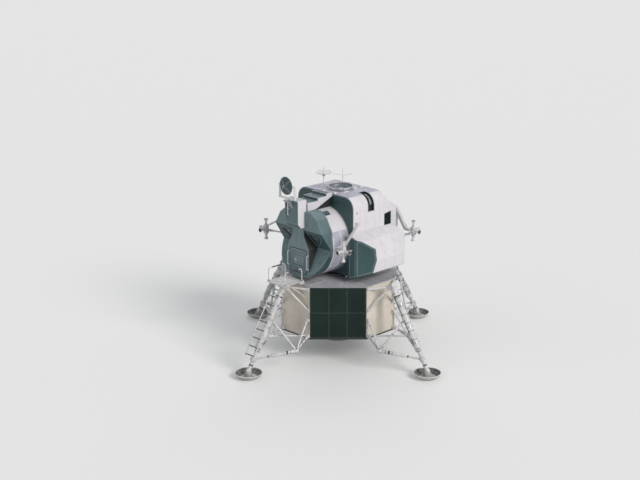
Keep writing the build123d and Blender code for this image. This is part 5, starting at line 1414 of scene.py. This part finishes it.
def rack_details():
    """Boxes in the aft bay's rack, with fins, plugs and sagging cables."""
    boxes, fins, plugs, wires = piles(4)
    rear = 1.80
    face = rear + 0.030
    plug = [(0, -0.002), (0.022, -0.002), (0.022, 0.012), (0.016, 0.014), (0.016, 0.030), (0, 0.030)]
    posts, rows = np.linspace(-1.08, 1.08, 7), (3.42, 3.94, 4.46, 4.90)
    for low, high in zip(rows[:-1], rows[1:]):
        z0, z1 = low + 0.016, high - 0.016
        for x0, x1 in zip(posts[:-1] + 0.014, posts[1:] - 0.014):
            boxes.prism([(x0, rear, z0), (x0, rear, z1), (x1, rear, z1), (x1, rear, z0)], AFT, 0.030, 0.008)
            for x in np.linspace(x0 + 0.035, x1 - 0.035, 9):
                fins.bar((x, face, z0 + 0.04), (x, face, z1 - 0.14), AFT, 0.008, 0.012, 0.001)
            for x in (x0 + 0.07, (x0 + x1) / 2, x1 - 0.07):
                plugs.lathe((x, face, z1 - 0.065), AFT, plug, 14)
        for x0, x1, drop in ((-0.9, 0.2, 0.05), (-0.2, 0.9, 0.035)):
            a = np.linspace(0, 1, 24)
            sag = high - 0.075 - drop * np.sin(3 * np.pi * a) ** 2
            wires.tube(np.stack([x0 + (x1 - x0) * a, 0 * a + rear + 0.062, sag], -1), 0.009, 8)
    boxes.make("rack_boxes", "slate_panel", edge=0.003)
    fins.make("rack_box_fins", "slate_pale")
    plugs.make("rack_plugs", "bare_metal", sharp=40)
    wires.make("rack_cables", "strut_dark", sharp=60)


def aft_tank_details():
    """Straps, necks and pipes of the round pressure tanks, and bands on the rack's struts."""
    bands, pipes, rings = piles(3)
    y, z, r = 1.15, 4.37, 0.205
    for x in (-0.76, 0.76):
        a = turns(48)[:, None]
        for across in ((1, 0, 0), AFT):
            way = np.cos(a) * across + np.sin(a) * UP
            bands.strap((x, y, z) + r * way, way, 0.026, 0.005, loop=True)
        bands.lathe((x, y, z + r), UP, [(0, -0.01), (0.042, -0.01), (0.036, 0.016), (0.016, 0.020),
                                        (0.014, 0.045), (0, 0.045)], 20)
        low, high, inner = z + r + 0.03, z + 0.33, x * 0.55
        pipes.tube(bent([(x, y, low), (x, y, high), (inner, y, high), (inner, 1.41, high)], 0.05), 0.011, 12)
    bands.make("tank_bands", "rivet", "bare_metal", sharp=40)
    pipes.make("tank_pipes", "bare_metal", "bare_metal", sharp=60)
    for side, (x, low, high) in product(SIDES, ((1.01, -0.62, -0.26), (1.085, -0.26, -0.62))):
        front, back = np.array([side * x, 0.84, AXIS + low]), np.array([side * x, 1.46, AXIS + high])
        for place in (0.20, 0.80):
            rings.hoop(front + (back - front) * place, back - front, 0.025, 0.033, 0.034, sides=20)
    rings.make("bay_strut_bands", "strut_dark", "strut_white", sharp=40)


def spine_details():
    """Slate treads on the spine's steps, and rims on its sides."""
    treads, plates, heads, lines = piles(4)
    for start, end, top in ((-1.80, -1.32, 5.63), (-1.32, -0.92, 5.72), (-0.92, -0.70, 5.80)):
        y0, y1 = start + 0.035, end - 0.02
        outline = [(-0.325, y0, top), (0.325, y0, top), (0.325, y1, top), (-0.325, y1, top)]
        treads.prism(rounded_loop(outline, 0.03), UP, 0.005, 0.002)
        for y in np.arange(start + 0.08, end - 0.04, 0.055):
            lines.bar((-0.29, y, top + 0.005), (0.29, y, top + 0.005), UP, 0.012, 0.002)
    rims(plates, heads, flat_faces("spine_fairing", 0.1, lambda n: abs(n[0]) > 0.9), 0.014, 0.032, step=0.06)
    treads.make("spine_treads", "slate_panel")
    lines.make("spine_tread_strips", "slate_dark")
    plates.make("spine_rims", "white_panel")
    heads.make("spine_rivets", "batten")


def nose_details():
    """Rims on the nose box, and the white post in its slot."""
    plates, heads, white, white_heads, post = piles(5)

    def front_field(x0, x1, z0, z1):
        return np.array([(x, NOSE_FRONT, z) for x, z in ((x0, z0), (x1, z0), (x1, z1), (x0, z1))])

    faces = [(front_field(-0.32, 0.32, 4.95, NOSE_TOP), FRONT)]
    faces += flat_faces("nose_box", 0.05, lambda n: n[0] < -0.9 or (n[1] < -0.3 and n[2] < -0.3))
    rims(plates, heads, faces, 0.008, 0.03, step=0.06)
    # White rims on the port side sit on its painted light.
    rims(white, white_heads, flat_faces("nose_box", 0.1, lambda n: n[0] > 0.9), 0.014, 0.035, step=0.06)
    top = [(x, y, NOSE_TOP) for x, y in ((-0.32, -2.2), (0.32, -2.2), (0.32, -1.8), (-0.32, -1.8))]
    rims(white, white_heads, [(np.array(top), UP)], 0.014, 0.028, step=0.06)
    floor = NOSE_FRONT + 0.04
    post.box((-0.232, floor - 0.002, 5.20), (-0.176, floor, 5.69))
    post.box((-0.222, NOSE_FRONT + 0.006, 5.20), (-0.186, floor, 5.69))
    for z in (5.21, 5.44, 5.67):
        post.box((-0.262, NOSE_FRONT + 0.016, z - 0.010), (-0.098, floor, z + 0.010))
    plates.frame(front_field(-0.27, -0.09, 5.19, 5.70), FRONT, -0.018, 0.0, 0.004)
    for pile, name, finish, edge in ((plates, "rims", "slate_pale", 0), (heads, "rivets", "batten", 0),
                                     (white, "side_rims", "white_panel", 0),
                                     (white_heads, "side_rivets", "batten", 0),
                                     (post, "slot_post", "antenna_white", 0.003)):
        pile.make(f"nose_{name}", finish, "slate_panel", edge=edge)


def notch_point(x, rise):
    """Point on the upper plane of the notches: y = -1.48 - 0.47 * (rise + 0.08) / 0.72."""
    return x, -1.48 - 0.47 * (rise + 0.08) / 0.72, AXIS + rise


def cheek_point(x, rise):
    """Point on the lower plane of the notches: y = -1.95 + 0.47 * (rise + 1.01) / 0.93."""
    return x, -1.95 + 0.47 * (rise + 1.01) / 0.93, AXIS + rise


def window_details(seals, frames, heads):
    """Seals and riveted frames round the two triangular windows."""
    out = unit((0, -0.837, -0.547))
    corners = [notch_point(x, rise) for x, rise in ((0.610, 0.0), (0.965, 0.400), (0.405, 0.450))]
    for flip in FLIPS:
        loop = rounded_loop(drawn_in(mirror(corners, flip)[::flip], out, -0.004), 0.048, 7)
        seals.frame(loop, out, -0.022, 0.0, 0.007)
        frames.frame(loop, out, -0.052, -0.024, 0.004)
        rivet_loop(heads, drawn_in(loop, out, -0.038), out, 0.06, 0.004)


def brow_details(plates, heads, flip):
    """Seams round the flat-sided brow and along its front edges, on one side."""
    def run(y, *ends):
        return tuple(mirror((x, y, AXIS + rise), flip) for x, rise in ends)

    brow = (((0.62, 1.20), (0.88, 1.00)), ((0.88, 1.00), (1.13, 0.56)), ((1.13, 0.56), (1.17, 0.02)))
    for (x0, r0), (x1, r1) in brow:
        side = unit((flip * (r0 - r1), 0, x1 - x0))
        places = (FACE_BACK - 0.03, FACE_FRONT + 0.03) if r1 > 0.1 else (FACE_BACK - 0.03,)
        seams(plates, heads, [run(y, (x0, r0), (x1, r1)) for y in places], side, 0.03, 0.003, 0.06)
    front = (((0.40, 1.17), (0.61, 1.17)), ((0.613, 1.165), (0.857, 0.975)), ((0.86, 0.965), (1.085, 0.60)),
             ((0.36, 0.625), (1.04, 0.625)))
    seams(plates, heads, [run(FACE_FRONT, *ends) for ends in front], FRONT, 0.026, 0.003, 0.06)


def face_details():
    """Window frames, rims and rivets of the faceted face, and short dark strips on both cheeks."""
    plates, heads, seals, frames, dark = piles(5)
    window_details(seals, frames, heads)
    lower = unit((0, -0.89, 0.45))
    x, _, rise = (CABIN_R - 0.05) * upright(arc(-53, -8, 24)).T
    edge = np.stack(cheek_point(x, rise), -1)[x > 0.56]
    ahead = np.array([0.012, 0, 0.009])
    for flip in FLIPS:
        brow_details(plates, heads, flip)
        path = mirror(edge, flip)
        plates.strap(path, lower, 0.026, 0.003)
        heads.domes(spread_along(path + 0.003 * lower, 0.06, 0.03), lower, 0.0055, 0.004)
        for share in np.linspace(0, 1, 9):
            place = cheek_point(0.82 + 0.18 * share, 0.14 * share - 0.30)
            dark.bar(mirror(place, flip), mirror(place + ahead, flip), lower, 0.018, 0.003)
        ends = (mirror(cheek_point(*place), flip) for place in ((0.80, -0.55), (0.88, -0.46)))
        dark.bar(*ends, lower, 0.016, 0.004, 0.001)
    plates.make("face_rims", "slate_pale", "slate_panel")
    heads.make("face_rivets", "batten", "slate_panel")
    seals.make("window_seals", "seal_black", "slate_panel", sharp=40)
    frames.make("window_frames", "slate_pale", "slate_panel", sharp=40)
    dark.make("cheek_marks", "seal_black", "slate_panel")


# Thrusters, booms, radar and antennas
def thruster_surfaces(white, bells, foot, way):
    """Head, chamber and flared bell from foot along way, and the dark lining of the bell.

    Past the throat the outer radius is 0.027 + 0.047 * s ** 0.65, s being the share of the bell's length.
    """
    s = np.linspace(0, 1, 10)
    flare = np.stack([0.027 + 0.047 * s ** 0.65, 0.104 + 0.111 * s], -1)
    head = [(0, -0.004), (0.054, -0.004), (0.054, 0.010), (0.044, 0.014), (0.044, 0.030), (0.047, 0.032),
            (0.047, 0.040), (0.044, 0.042), (0.044, 0.076), (0.038, 0.090)]
    inside = (flare - (0.004, 0))[::-1]
    white.lathe(foot, way, np.concatenate([head, flare, inside, [(0, 0.104)]]), 28)
    skirt, core = flare[:9] - (0.0045, 0), (flare[:9] - (0.0065, 0))[::-1]
    bells.lathe(foot, way, np.concatenate([[(0, 0.1045)], skirt, core, [(0, 0.109)]]), 28)
    for h in (0.150, 0.196):
        r = float(np.interp(h, flare[:, 1], flare[:, 0]))
        white.lathe(foot, way, [(r - 0.004, h - 0.004), (r + 0.003, h - 0.003), (r + 0.004, h + 0.003),
                                (r - 0.002, h + 0.004), (r - 0.004, h - 0.004)], 28)


def thruster_details():
    """Four smooth clusters in place of the plain ones: rounded housing, four thrusters, straps and pipes."""
    for (end, y, ahead), (hand, side) in product((("front", RCS_Y[0], FRONT), ("aft", RCS_Y[1], AFT)),
                                                 (("port", 1), ("starboard", -1))):
        white, bells, heads, dark, pipes = piles(5)
        centre, out = np.array([side * RCS_X, y, RCS_Z]), np.array([float(side), 0, 0])
        corners = np.array([(-1, -1, 0), (1, -1, 0), (1, 1, 0), (-1, 1, 0)])
        corner = rounded_loop(0.075 * corners, 0.026)
        white.loft([centre + corner * (k, k, 1) + (0, 0, z) for k, z in
                    ((0.86, -0.15), (1, -0.136), (1, 0.136), (0.86, 0.15))])
        for way, start in ((UP, 0.15), (DOWN, 0.15), (out, 0.075), (ahead, 0.075)):
            foot = centre + way * start
            thruster_surfaces(white, bells, foot, way)
            heads.domes(foot + 0.010 * way + 0.0485 * around(way, 8), way, 0.004, 0.005)
            for lean in around(way, 2, 40):
                pipes.tube([foot + 0.058 * lean - 0.004 * way, foot + 0.058 * lean + 0.045 * way,
                            foot + 0.042 * lean + 0.058 * way], 0.006, 10)
        loop = rounded_loop(0.0755 * corners, 0.026)
        for z in (-0.088, 0.088):
            dark.strap(centre + loop + (0, 0, z), unit(loop), 0.016, 0.003, 0.001, True)
        for way, across in ((-out, ahead), (-ahead, out)):
            for shift, z in product((-0.036, 0.036), (-0.115, -0.055, 0.055, 0.115)):
                heads.domes(centre + 0.075 * way + shift * across + (0, 0, z), way, 0.005, 0.004)
        name, slot = f"{end}_{hand}", "thruster_grey"
        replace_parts(white.make(f"thrusters_{name}", slot, slot, sharp=38), f"rcs_cluster_{name}")
        bells.make(f"thruster_linings_{name}", "thruster_throat", slot, sharp=40)
        heads.make(f"thruster_bolts_{name}", "rivet", slot)
        dark.make(f"thruster_straps_{name}", "batten", slot)
        pipes.make(f"thruster_pipes_{name}", "bare_metal", slot, sharp=60)


def boom_details():
    """Clamps on the round struts of the booms, and bolts on their flat arms."""
    rings, heads = piles(2)
    struts = (((1.48, -0.80, 4.03), (1.89, -1.61, 4.20), (0.30, 0.84)),
              ((1.14, -1.20, 4.11), (1.86, -1.62, 4.26), (0.20, 0.84)),
              ((1.52, 1.25, 3.99), (1.89, 1.76, 4.18), (0.36, 0.78)),
              ((1.15, 1.60, 3.92), (1.86, 1.77, 4.20), (0.24, 0.84)))
    for flip, (start, end, places) in product(FLIPS, struts):
        start, end = mirror(start, flip), mirror(end, flip)
        for place in places:
            rings.hoop(start + (end - start) * place, end - start, 0.0235, 0.031, 0.034)
    for flip in FLIPS:
        way = mirror((0.46, -1.19, -0.47), flip)
        side = unit(np.cross(way, UP))
        up = unit(np.cross(side, way))
        line = mirror((1.41, -0.43, 4.85), flip) + way * np.linspace(0.16, 0.90, 12)[:, None]
        for across in (-0.032, 0.032):
            heads.domes(line + across * side + 0.015 * up, up, 0.006, 0.004)
    rings.make("boom_clamps", "batten", "strut_white", sharp=40)
    heads.make("boom_bolts", "rivet", "strut_white")


def on_dish(way, radius):
    """Point of the dish's inner surface: 55 mm before its vertex, less 112 mm * (radius / 0.305) ** 2."""
    radius = np.asarray(radius, float)[..., None]
    depth = DISH[0] + 0.055 - 0.112 * (radius / 0.305) ** 2
    return (0, 0, DISH[1]) + radius * way + depth * AFT


def dish_details():
    """Rim, ribs and seams of the tracking dish, and the can behind it."""
    rim, ribs, back = piles(3)
    centre = np.array([0, *DISH])
    rim.lathe(centre, FRONT, [(0.298, 0.056), (0.300, 0.064), (0.311, 0.064), (0.313, 0.046), (0.309, 0.040),
                              (0.298, 0.056)], 72)
    for way in upright(turns(8, 22.5)):
        path = on_dish(way, np.linspace(0.05, 0.297, 9))
        ribs.strap(path, unit(FRONT - 0.175 * way), 0.007, 0.003, 0.001)
        back.strap(path[1:] + (0, 0.011, 0), AFT, 0.014, 0.014, 0.003)
    for radius in (0.10, 0.20):
        ribs.strap(on_dish(upright(turns(48)), radius), FRONT, 0.006, 0.003, 0.001, True)
    back.lathe(centre + (0, 0.055, 0), AFT, [(0, 0), (0.070, 0), (0.070, 0.070), (0.060, 0.092),
                                             (0.030, 0.098), (0, 0.098)], 40)
    rim.make("dish_rim", "antenna_white", "antenna_white", "radar_dish", sharp=40)
    ribs.make("dish_seams", "slate_pale", "antenna_white", "radar_dish")
    back.make("dish_back_ribs", "antenna_white", "antenna_white", "radar_dish")


def radar_details():
    """Motor cans and bolts on the dish's fork, the cable that feeds it, and the bolts of its mount."""
    dish_details()
    cans, heads, wires, bolts, collar = piles(5)
    y, z = DISH
    for side in SIDES:
        way = np.array([side, 0, 0])
        cans.lathe((side * 0.377, y, z), way, [(0, -0.004), (0.036, -0.004), (0.036, 0.016), (0.028, 0.022),
                                               (0, 0.022)])
        heads.domes((side * 0.3935, y, z) + 0.030 * around(way, 6, 30), way, 0.004, 0.004)
        for at in np.linspace(5.93, 6.20, 5):
            heads.domes((side * 0.362, y - 0.034, at), FRONT, 0.006, 0.004)
        cans.box((side * 0.361 - 0.024, y - 0.038, 5.845), (side * 0.361 + 0.024, y + 0.038, 5.905))
    top = (0.362, y + 0.042, 6.24)
    path = bends([(0.05, y + 0.09, 5.865), (0.05, y + 0.09, 5.915), (0.325, y + 0.045, 5.915),
                  (0.362, y + 0.042, 5.935), top], 0.02)
    wires.tube([*path, top], 0.007, 10)
    bolts.domes([(x, at, 5.792) for x, at in product((-0.095, 0.095), (-2.43, -2.30, -2.20, -2.08))], UP,
                0.008, 0.006)
    collar.lathe((0, y, 5.792), UP, [(0.036, -0.002), (0.052, -0.002), (0.052, 0.003), (0.036, 0.004),
                                     (0.036, -0.002)])
    cans.make("radar_motor_cans", "antenna_white", "antenna_white", "radar_yoke", 0.001, 38)
    heads.make("radar_fork_bolts", "rivet", "antenna_white", "radar_yoke")
    wires.make("radar_cable", "strut_dark", "antenna_white", "radar_yoke", sharp=60)
    bolts.make("radar_mount_bolts", "rivet", "bare_metal")
    collar.make("radar_post_collar", "bare_metal", "bare_metal", sharp=40)


def antenna_details():
    """Bolted feet, bands, stays and bright rim of the two antennas on the roof."""
    parts, heads = piles(2)
    disc, cross = np.array([-0.93, 0.22, 0]), np.array([-0.55, 0.79, 0])
    for foot, tall in ((disc, 0.25), (cross, 0.236)):
        heads.domes(foot + (0, 0, ROOF + 0.0145) + 0.036 * spokes(6), UP, 0.004, 0.004)
        for z in (0.07, tall - 0.03):
            parts.hoop(foot + (0, 0, ROOF + z), UP, 0.012, 0.019, 0.018, 0.003, 20)
    for way in spokes(8):
        stay = disc + [0.125 * way + (0, 0, 6.1265), 0.266 * way + (0, 0, 6.154)]
        parts.strap(stay, UP, 0.006, 0.003, 0.001)
    parts.strap(disc + 0.276 * spokes(64) + (0, 0, 6.155), UP, 0.010, 0.004, 0.001, True)
    parts.make("antenna_bands", "antenna_white", "antenna_white", sharp=40)
    heads.make("antenna_foot_bolts", "rivet", "antenna_white")


# Hatch, barrel and cabin
def hatch_field(half):
    """Corners of a square on the forward hatch, half being half its width."""
    mid = 3.59
    return np.array([(-half, FACE_FRONT, mid - half), (half, FACE_FRONT, mid - half),
                     (half, FACE_FRONT, mid + half), (-half, FACE_FRONT, mid + half)])


def hatch_details():
    """Seal round the forward hatch, the frame, lines, valve and handle on it, and the rails beside it."""
    seal, face_heads, border, marks, heads, metal, rail = piles(7)
    y = FACE_FRONT
    loop = rounded_loop(hatch_field(0.4068), 0.07)
    seal.frame(loop, FRONT, -0.020, -0.001, 0.005)
    rivet_loop(face_heads, drawn_in(loop, FRONT, -0.034), FRONT, 0.065, 0, 0.006)
    loop = rounded_loop(hatch_field(0.385), 0.05)
    border.frame(loop, FRONT, 0.0, 0.035, 0.004)
    rivet_loop(heads, drawn_in(loop, FRONT, 0.0175), FRONT, 0.05, 0.004)
    marks.frame(rounded_loop(hatch_field(0.30), 0.03), FRONT, 0.0, 0.012, 0.003)
    for z, wide in ((3.42, 0.016), (3.78, 0.010)):
        marks.bar((-0.27, y, z), (0.27, y, z), FRONT, wide, 0.003)
    metal.lathe((-0.14, y, 3.60), FRONT, [(0, -0.002), (0.055, -0.002), (0.055, 0.006), (0.045, 0.010),
                                          (0.020, 0.010), (0.018, 0.018), (0, 0.018)])
    metal.lathe((0.24, y, 3.60), FRONT, [(0, -0.002), (0.030, -0.002), (0.030, 0.012), (0, 0.012)], 28)
    metal.tube([(0.24, y - 0.010, 3.60), (0.24, y - 0.022, 3.60)], 0.014, 16)
    metal.bar((0.24, y - 0.020, 3.53), (0.24, y - 0.020, 3.67), FRONT, 0.020, 0.010, 0.003)
    low, high, back, front = 3.36, 3.84, y + 0.002, y - 0.06
    for x in (-0.47, 0.47):
        path = bent([(x, back, low), (x, front, low), (x, front, high), (x, back, high)], 0.025)
        rail.tube(path, 0.011, 14)
        for z in (low, high):
            rail.lathe((x, y, z), FRONT, [(0, -0.002), (0.024, -0.002), (0.024, 0.005), (0.014, 0.009),
                                          (0, 0.009)], 20)
    slot, body = "slate_panel", "forward_hatch"
    seal.make("hatch_seal", "seal_black", slot, sharp=40)
    face_heads.make("hatch_frame_rivets", "batten", slot)
    border.make("hatch_frame", "slate_pale", slot, body)
    marks.make("hatch_lines", "seal_black", slot, body)
    heads.make("hatch_rivets", "batten", slot, body)
    metal.make("hatch_handle_and_valve", "bare_metal", slot, body, 0.001, 40)
    rail.make("hatch_rails", "antenna_white", slot, sharp=50)


def barrel_details():
    """Hoops, battens and rivets on the round cabin, the docking window's frame, and a ring inside."""
    plates, heads, border, rings = piles(4)
    for flip, (y, top) in product(FLIPS, ((-1.365, 71), (-0.99, 69), (-0.665, 68))):
        out = mirror(upright(arc(-80, 40 if y == -0.99 and flip > 0 else top, 36)), flip)
        riveted_strap(plates, heads, out * CABIN_R + (0, y, AXIS), out)
    for flip, angle in product(FLIPS, (-38, 0, 34)):
        out = mirror(upright(radians(angle)), flip)
        at = out * CABIN_R + (0, 0, AXIS)
        seams(plates, heads, [(at - 1.34 * AFT, at - 0.69 * AFT)], out)
    out = upright(turns(60))
    rings.strap(out * (CABIN_R - 0.06) + (0, -0.74, AXIS), -out, 0.03, 0.010, 0.003, True)
    out, down = upright(radians(63)), -upright(radians(153))
    middle = out * (CABIN_R + 0.004) + (0, -1.14, AXIS)
    corners = [middle + s * 0.075 * down + t * 0.15 * AFT for s, t in ((-1, -1), (1, -1), (1, 1), (-1, 1))]
    loop = rounded_loop(corners, 0.02)
    border.frame(loop, out, -0.030, 0.0, 0.006)
    rivet_loop(heads, drawn_in(loop, out, -0.016), out, 0.05, 0.006)
    plates.make("barrel_hoops", "white_panel")
    heads.make("barrel_rivets", "batten")
    border.make("docking_window_frame", "slate_dark", sharp=40)
    rings.make("cabin_ring", "interior_grey", sharp=40)


def dial(faces, marks, bezels, at, out, size):
    """Round dial with a bezel, a hand and a scale of dots."""
    u = unit(np.cross(UP, out))
    face = at + 0.003 * out
    bezels.lathe(at, out, [(size - 0.006, -0.002), (size, -0.002), (size, 0.006), (size - 0.006, 0.006),
                           (size - 0.006, -0.002)], 28)
    faces.lathe(at, out, [(0, -0.002), (size - 0.006, -0.002), (size - 0.006, 0.003), (0, 0.003)], 28)
    marks.bar(face, face + (size - 0.012) * unit(u * 0.6 + UP * 0.8), out, 0.004, 0.0015, 0.0004)
    turn = arc(-30, 210, 9)[:, None]
    marks.domes(face + (size - 0.011) * (np.cos(turn) * u + np.sin(turn) * UP), out, 0.0022, 0.0015)


def panel_details():
    """Dials, tapes and switches on the instrument panel and its wings."""
    faces, marks, bezels, keys = piles(4)
    board = -1.34
    for x, z, size in ((0.36, 4.50, 0.045), (0.25, 4.50, 0.045), (0.13, 4.48, 0.060), (0.33, 4.37, 0.040),
                       (0.23, 4.37, 0.040)):
        for flip in FLIPS:
            dial(faces, marks, bezels, np.array([flip * x, board, z]), AFT, size)
    for x in (-0.035, 0.035):
        low, high = (x - 0.025, board, 4.41), (x + 0.025, board, 4.58)
        faces.prism([low, (low[0], board, 4.58), high, (high[0], board, 4.41)], AFT, 0.004, 0.001)
        for z in np.arange(4.43, 4.57, 0.02):
            marks.bar((x - 0.016, board + 0.004, z), (x + 0.010, board + 0.004, z), AFT, 0.003, 0.001, 0.0003)
    for z in (4.10, 4.16, 4.22, 4.28):
        for x in np.concatenate([np.arange(-0.43, -0.13, 0.042), np.arange(0.14, 0.44, 0.042)]):
            keys.bar((x, board, z - 0.006), (x, board, z + 0.006), AFT, 0.012, 0.005, 0.001)
            keys.tube([(x, board + 0.003, z), (x, board + 0.024, z + 0.006)], 0.0028, 8)
    for flip in FLIPS:
        turn = radians(38 * flip)
        out, along = np.array([-sin(turn), cos(turn), 0]), np.array([cos(turn), sin(turn), 0])
        middle = np.array([flip * 0.56, -1.30, 4.21]) + 0.02 * out
        for shift in (-0.05, 0.05):
            dial(faces, marks, bezels, middle + (0, 0, 0.09) + shift * along, out, 0.036)
        for x, z in product(np.linspace(-0.09, 0.09, 5), (-0.10, -0.05, 0.0)):
            foot = middle + x * along + z * UP
            keys.tube([foot - 0.001 * out, foot + 0.005 * UP + 0.022 * out], 0.0028, 8)
    slot = "interior_grey"
    faces.make("dial_faces", "dial_black", slot, sharp=40)
    marks.make("dial_marks", "dial_white", slot)
    bezels.make("dial_bezels", "bare_metal", slot, sharp=40)
    keys.make("panel_switches", "dial_white", slot, sharp=40)


def floor_details():
    """Strips and straps on the cabin floor, and the straps of the engine cover."""
    strips, straps, heads = piles(3)
    for x in np.linspace(-0.40, 0.40, 9):
        strips.bar((x, -1.78, 3.178), (x, -0.60, 3.178), UP, 0.028, 0.003, 0.001)
    for side in (-0.22, 0.22):
        straps.bar((side - 0.10, -0.98, 3.181), (side + 0.10, -0.98, 3.181), UP, 0.05, 0.006, 0.002)
    out = spokes(64)
    for z in (3.10, 3.42, 3.74):
        straps.strap(0.40 * out + (0, 0, z), out, 0.03, 0.004, 0.001, True)
        heads.domes(0.404 * out[::2] + (0, 0, z), out[::2], 0.005, 0.003)
    for way in spokes(4):
        straps.bar(0.06 * way + (0, 0, 3.84), 0.31 * way + (0, 0, 3.84), UP, 0.03, 0.004, 0.001)
    slot = "interior_grey"
    strips.make("floor_strips", "dial_black", slot)
    straps.make("cover_straps", "slate_pale", slot)
    heads.make("cover_rivets", "rivet", slot)


# Engines and the underside of the ascent stage
def outer_profile(name):
    """Heights of a turned solid's corners and its largest radius at each."""
    x, y, z = columns(nodes[name].data.vertices, "co")
    heights = np.unique(np.round(z, 3))
    return heights, np.array([np.hypot(x, y)[np.abs(z - h) < 0.001].max() for h in heights])


def engine_details():
    """Stiffening rings on both bells, and pipes along the larger one."""
    for name, body, levels in (("descent_engine", "descent_engine", (0.44, 0.60, 0.80, 1.02, 1.26)),
                               ("ascent_engine", STAGE, (2.725, 2.80, 2.88))):
        profile = outer_profile(name)
        rings = Pile()
        for z in levels:
            r = float(np.interp(z, *profile))
            rings.lathe((0, 0, z), UP, [(r - 0.02, -0.006), (r + 0.004, -0.005), (r + 0.005, 0.004),
                                        (r - 0.02, 0.006), (r - 0.02, -0.006)], 72)
        if name == "descent_engine":
            z = np.linspace(0.46, 1.40, 12)[:, None]
            for way in spokes(12):
                rings.tube((np.interp(z, *profile) + 0.004) * way + z * UP, 0.006, 8)
        rings.make(f"{name}_rings", "nozzle_metal", "nozzle_metal", body, sharp=40)


def underneath_details():
    """Riveted seams, a bolted ring and four round covers under the ascent stage."""
    plates, heads = piles(2)
    low = STAGE_LOW * UP
    for way in spokes(8, 22.5):
        x, y = np.maximum(np.abs(way[:2]), 0.01)
        reach = min(1.12 / x, (0.56 if way[1] < 0 else 0.85) / y)
        seams(plates, heads, [(0.42 * way + low, reach * way + low)], DOWN, 0.04)
    riveted_strap(plates, heads, closed(0.40 * spokes(36) + low), DOWN, 0.05)
    for x, y in product((-0.9, 0.9), (-0.48, 0.78)):
        plates.lathe((x, y, STAGE_LOW), DOWN, [(0.064, -0.002), (0.064, 0.008), (0.082, 0.008),
                                               (0.090, -0.002), (0.064, -0.002)], 36)
    # Slate seams sit on the underside's painted shade.
    plates.make("stage_under_seams", "slate_panel", sharp=40)
    heads.make("stage_under_rivets", "rivet")


make_camera()
make_light()
make_floor()
make_materials()
dress_frame()
body_foil()
deck_details()
underside_details()
midsection_details()
roof_fittings()
docking_details()
recess_details()
bay_details()
aft_rims()
rack_details()
aft_tank_details()
spine_details()
nose_details()
face_details()
thruster_details()
boom_details()
radar_details()
antenna_details()
hatch_details()
barrel_details()
panel_details()
floor_details()
engine_details()
underneath_details()
gear_details()
pad_details()
porch_details()
bpy.context.scene.view_settings.view_transform = "Standard"
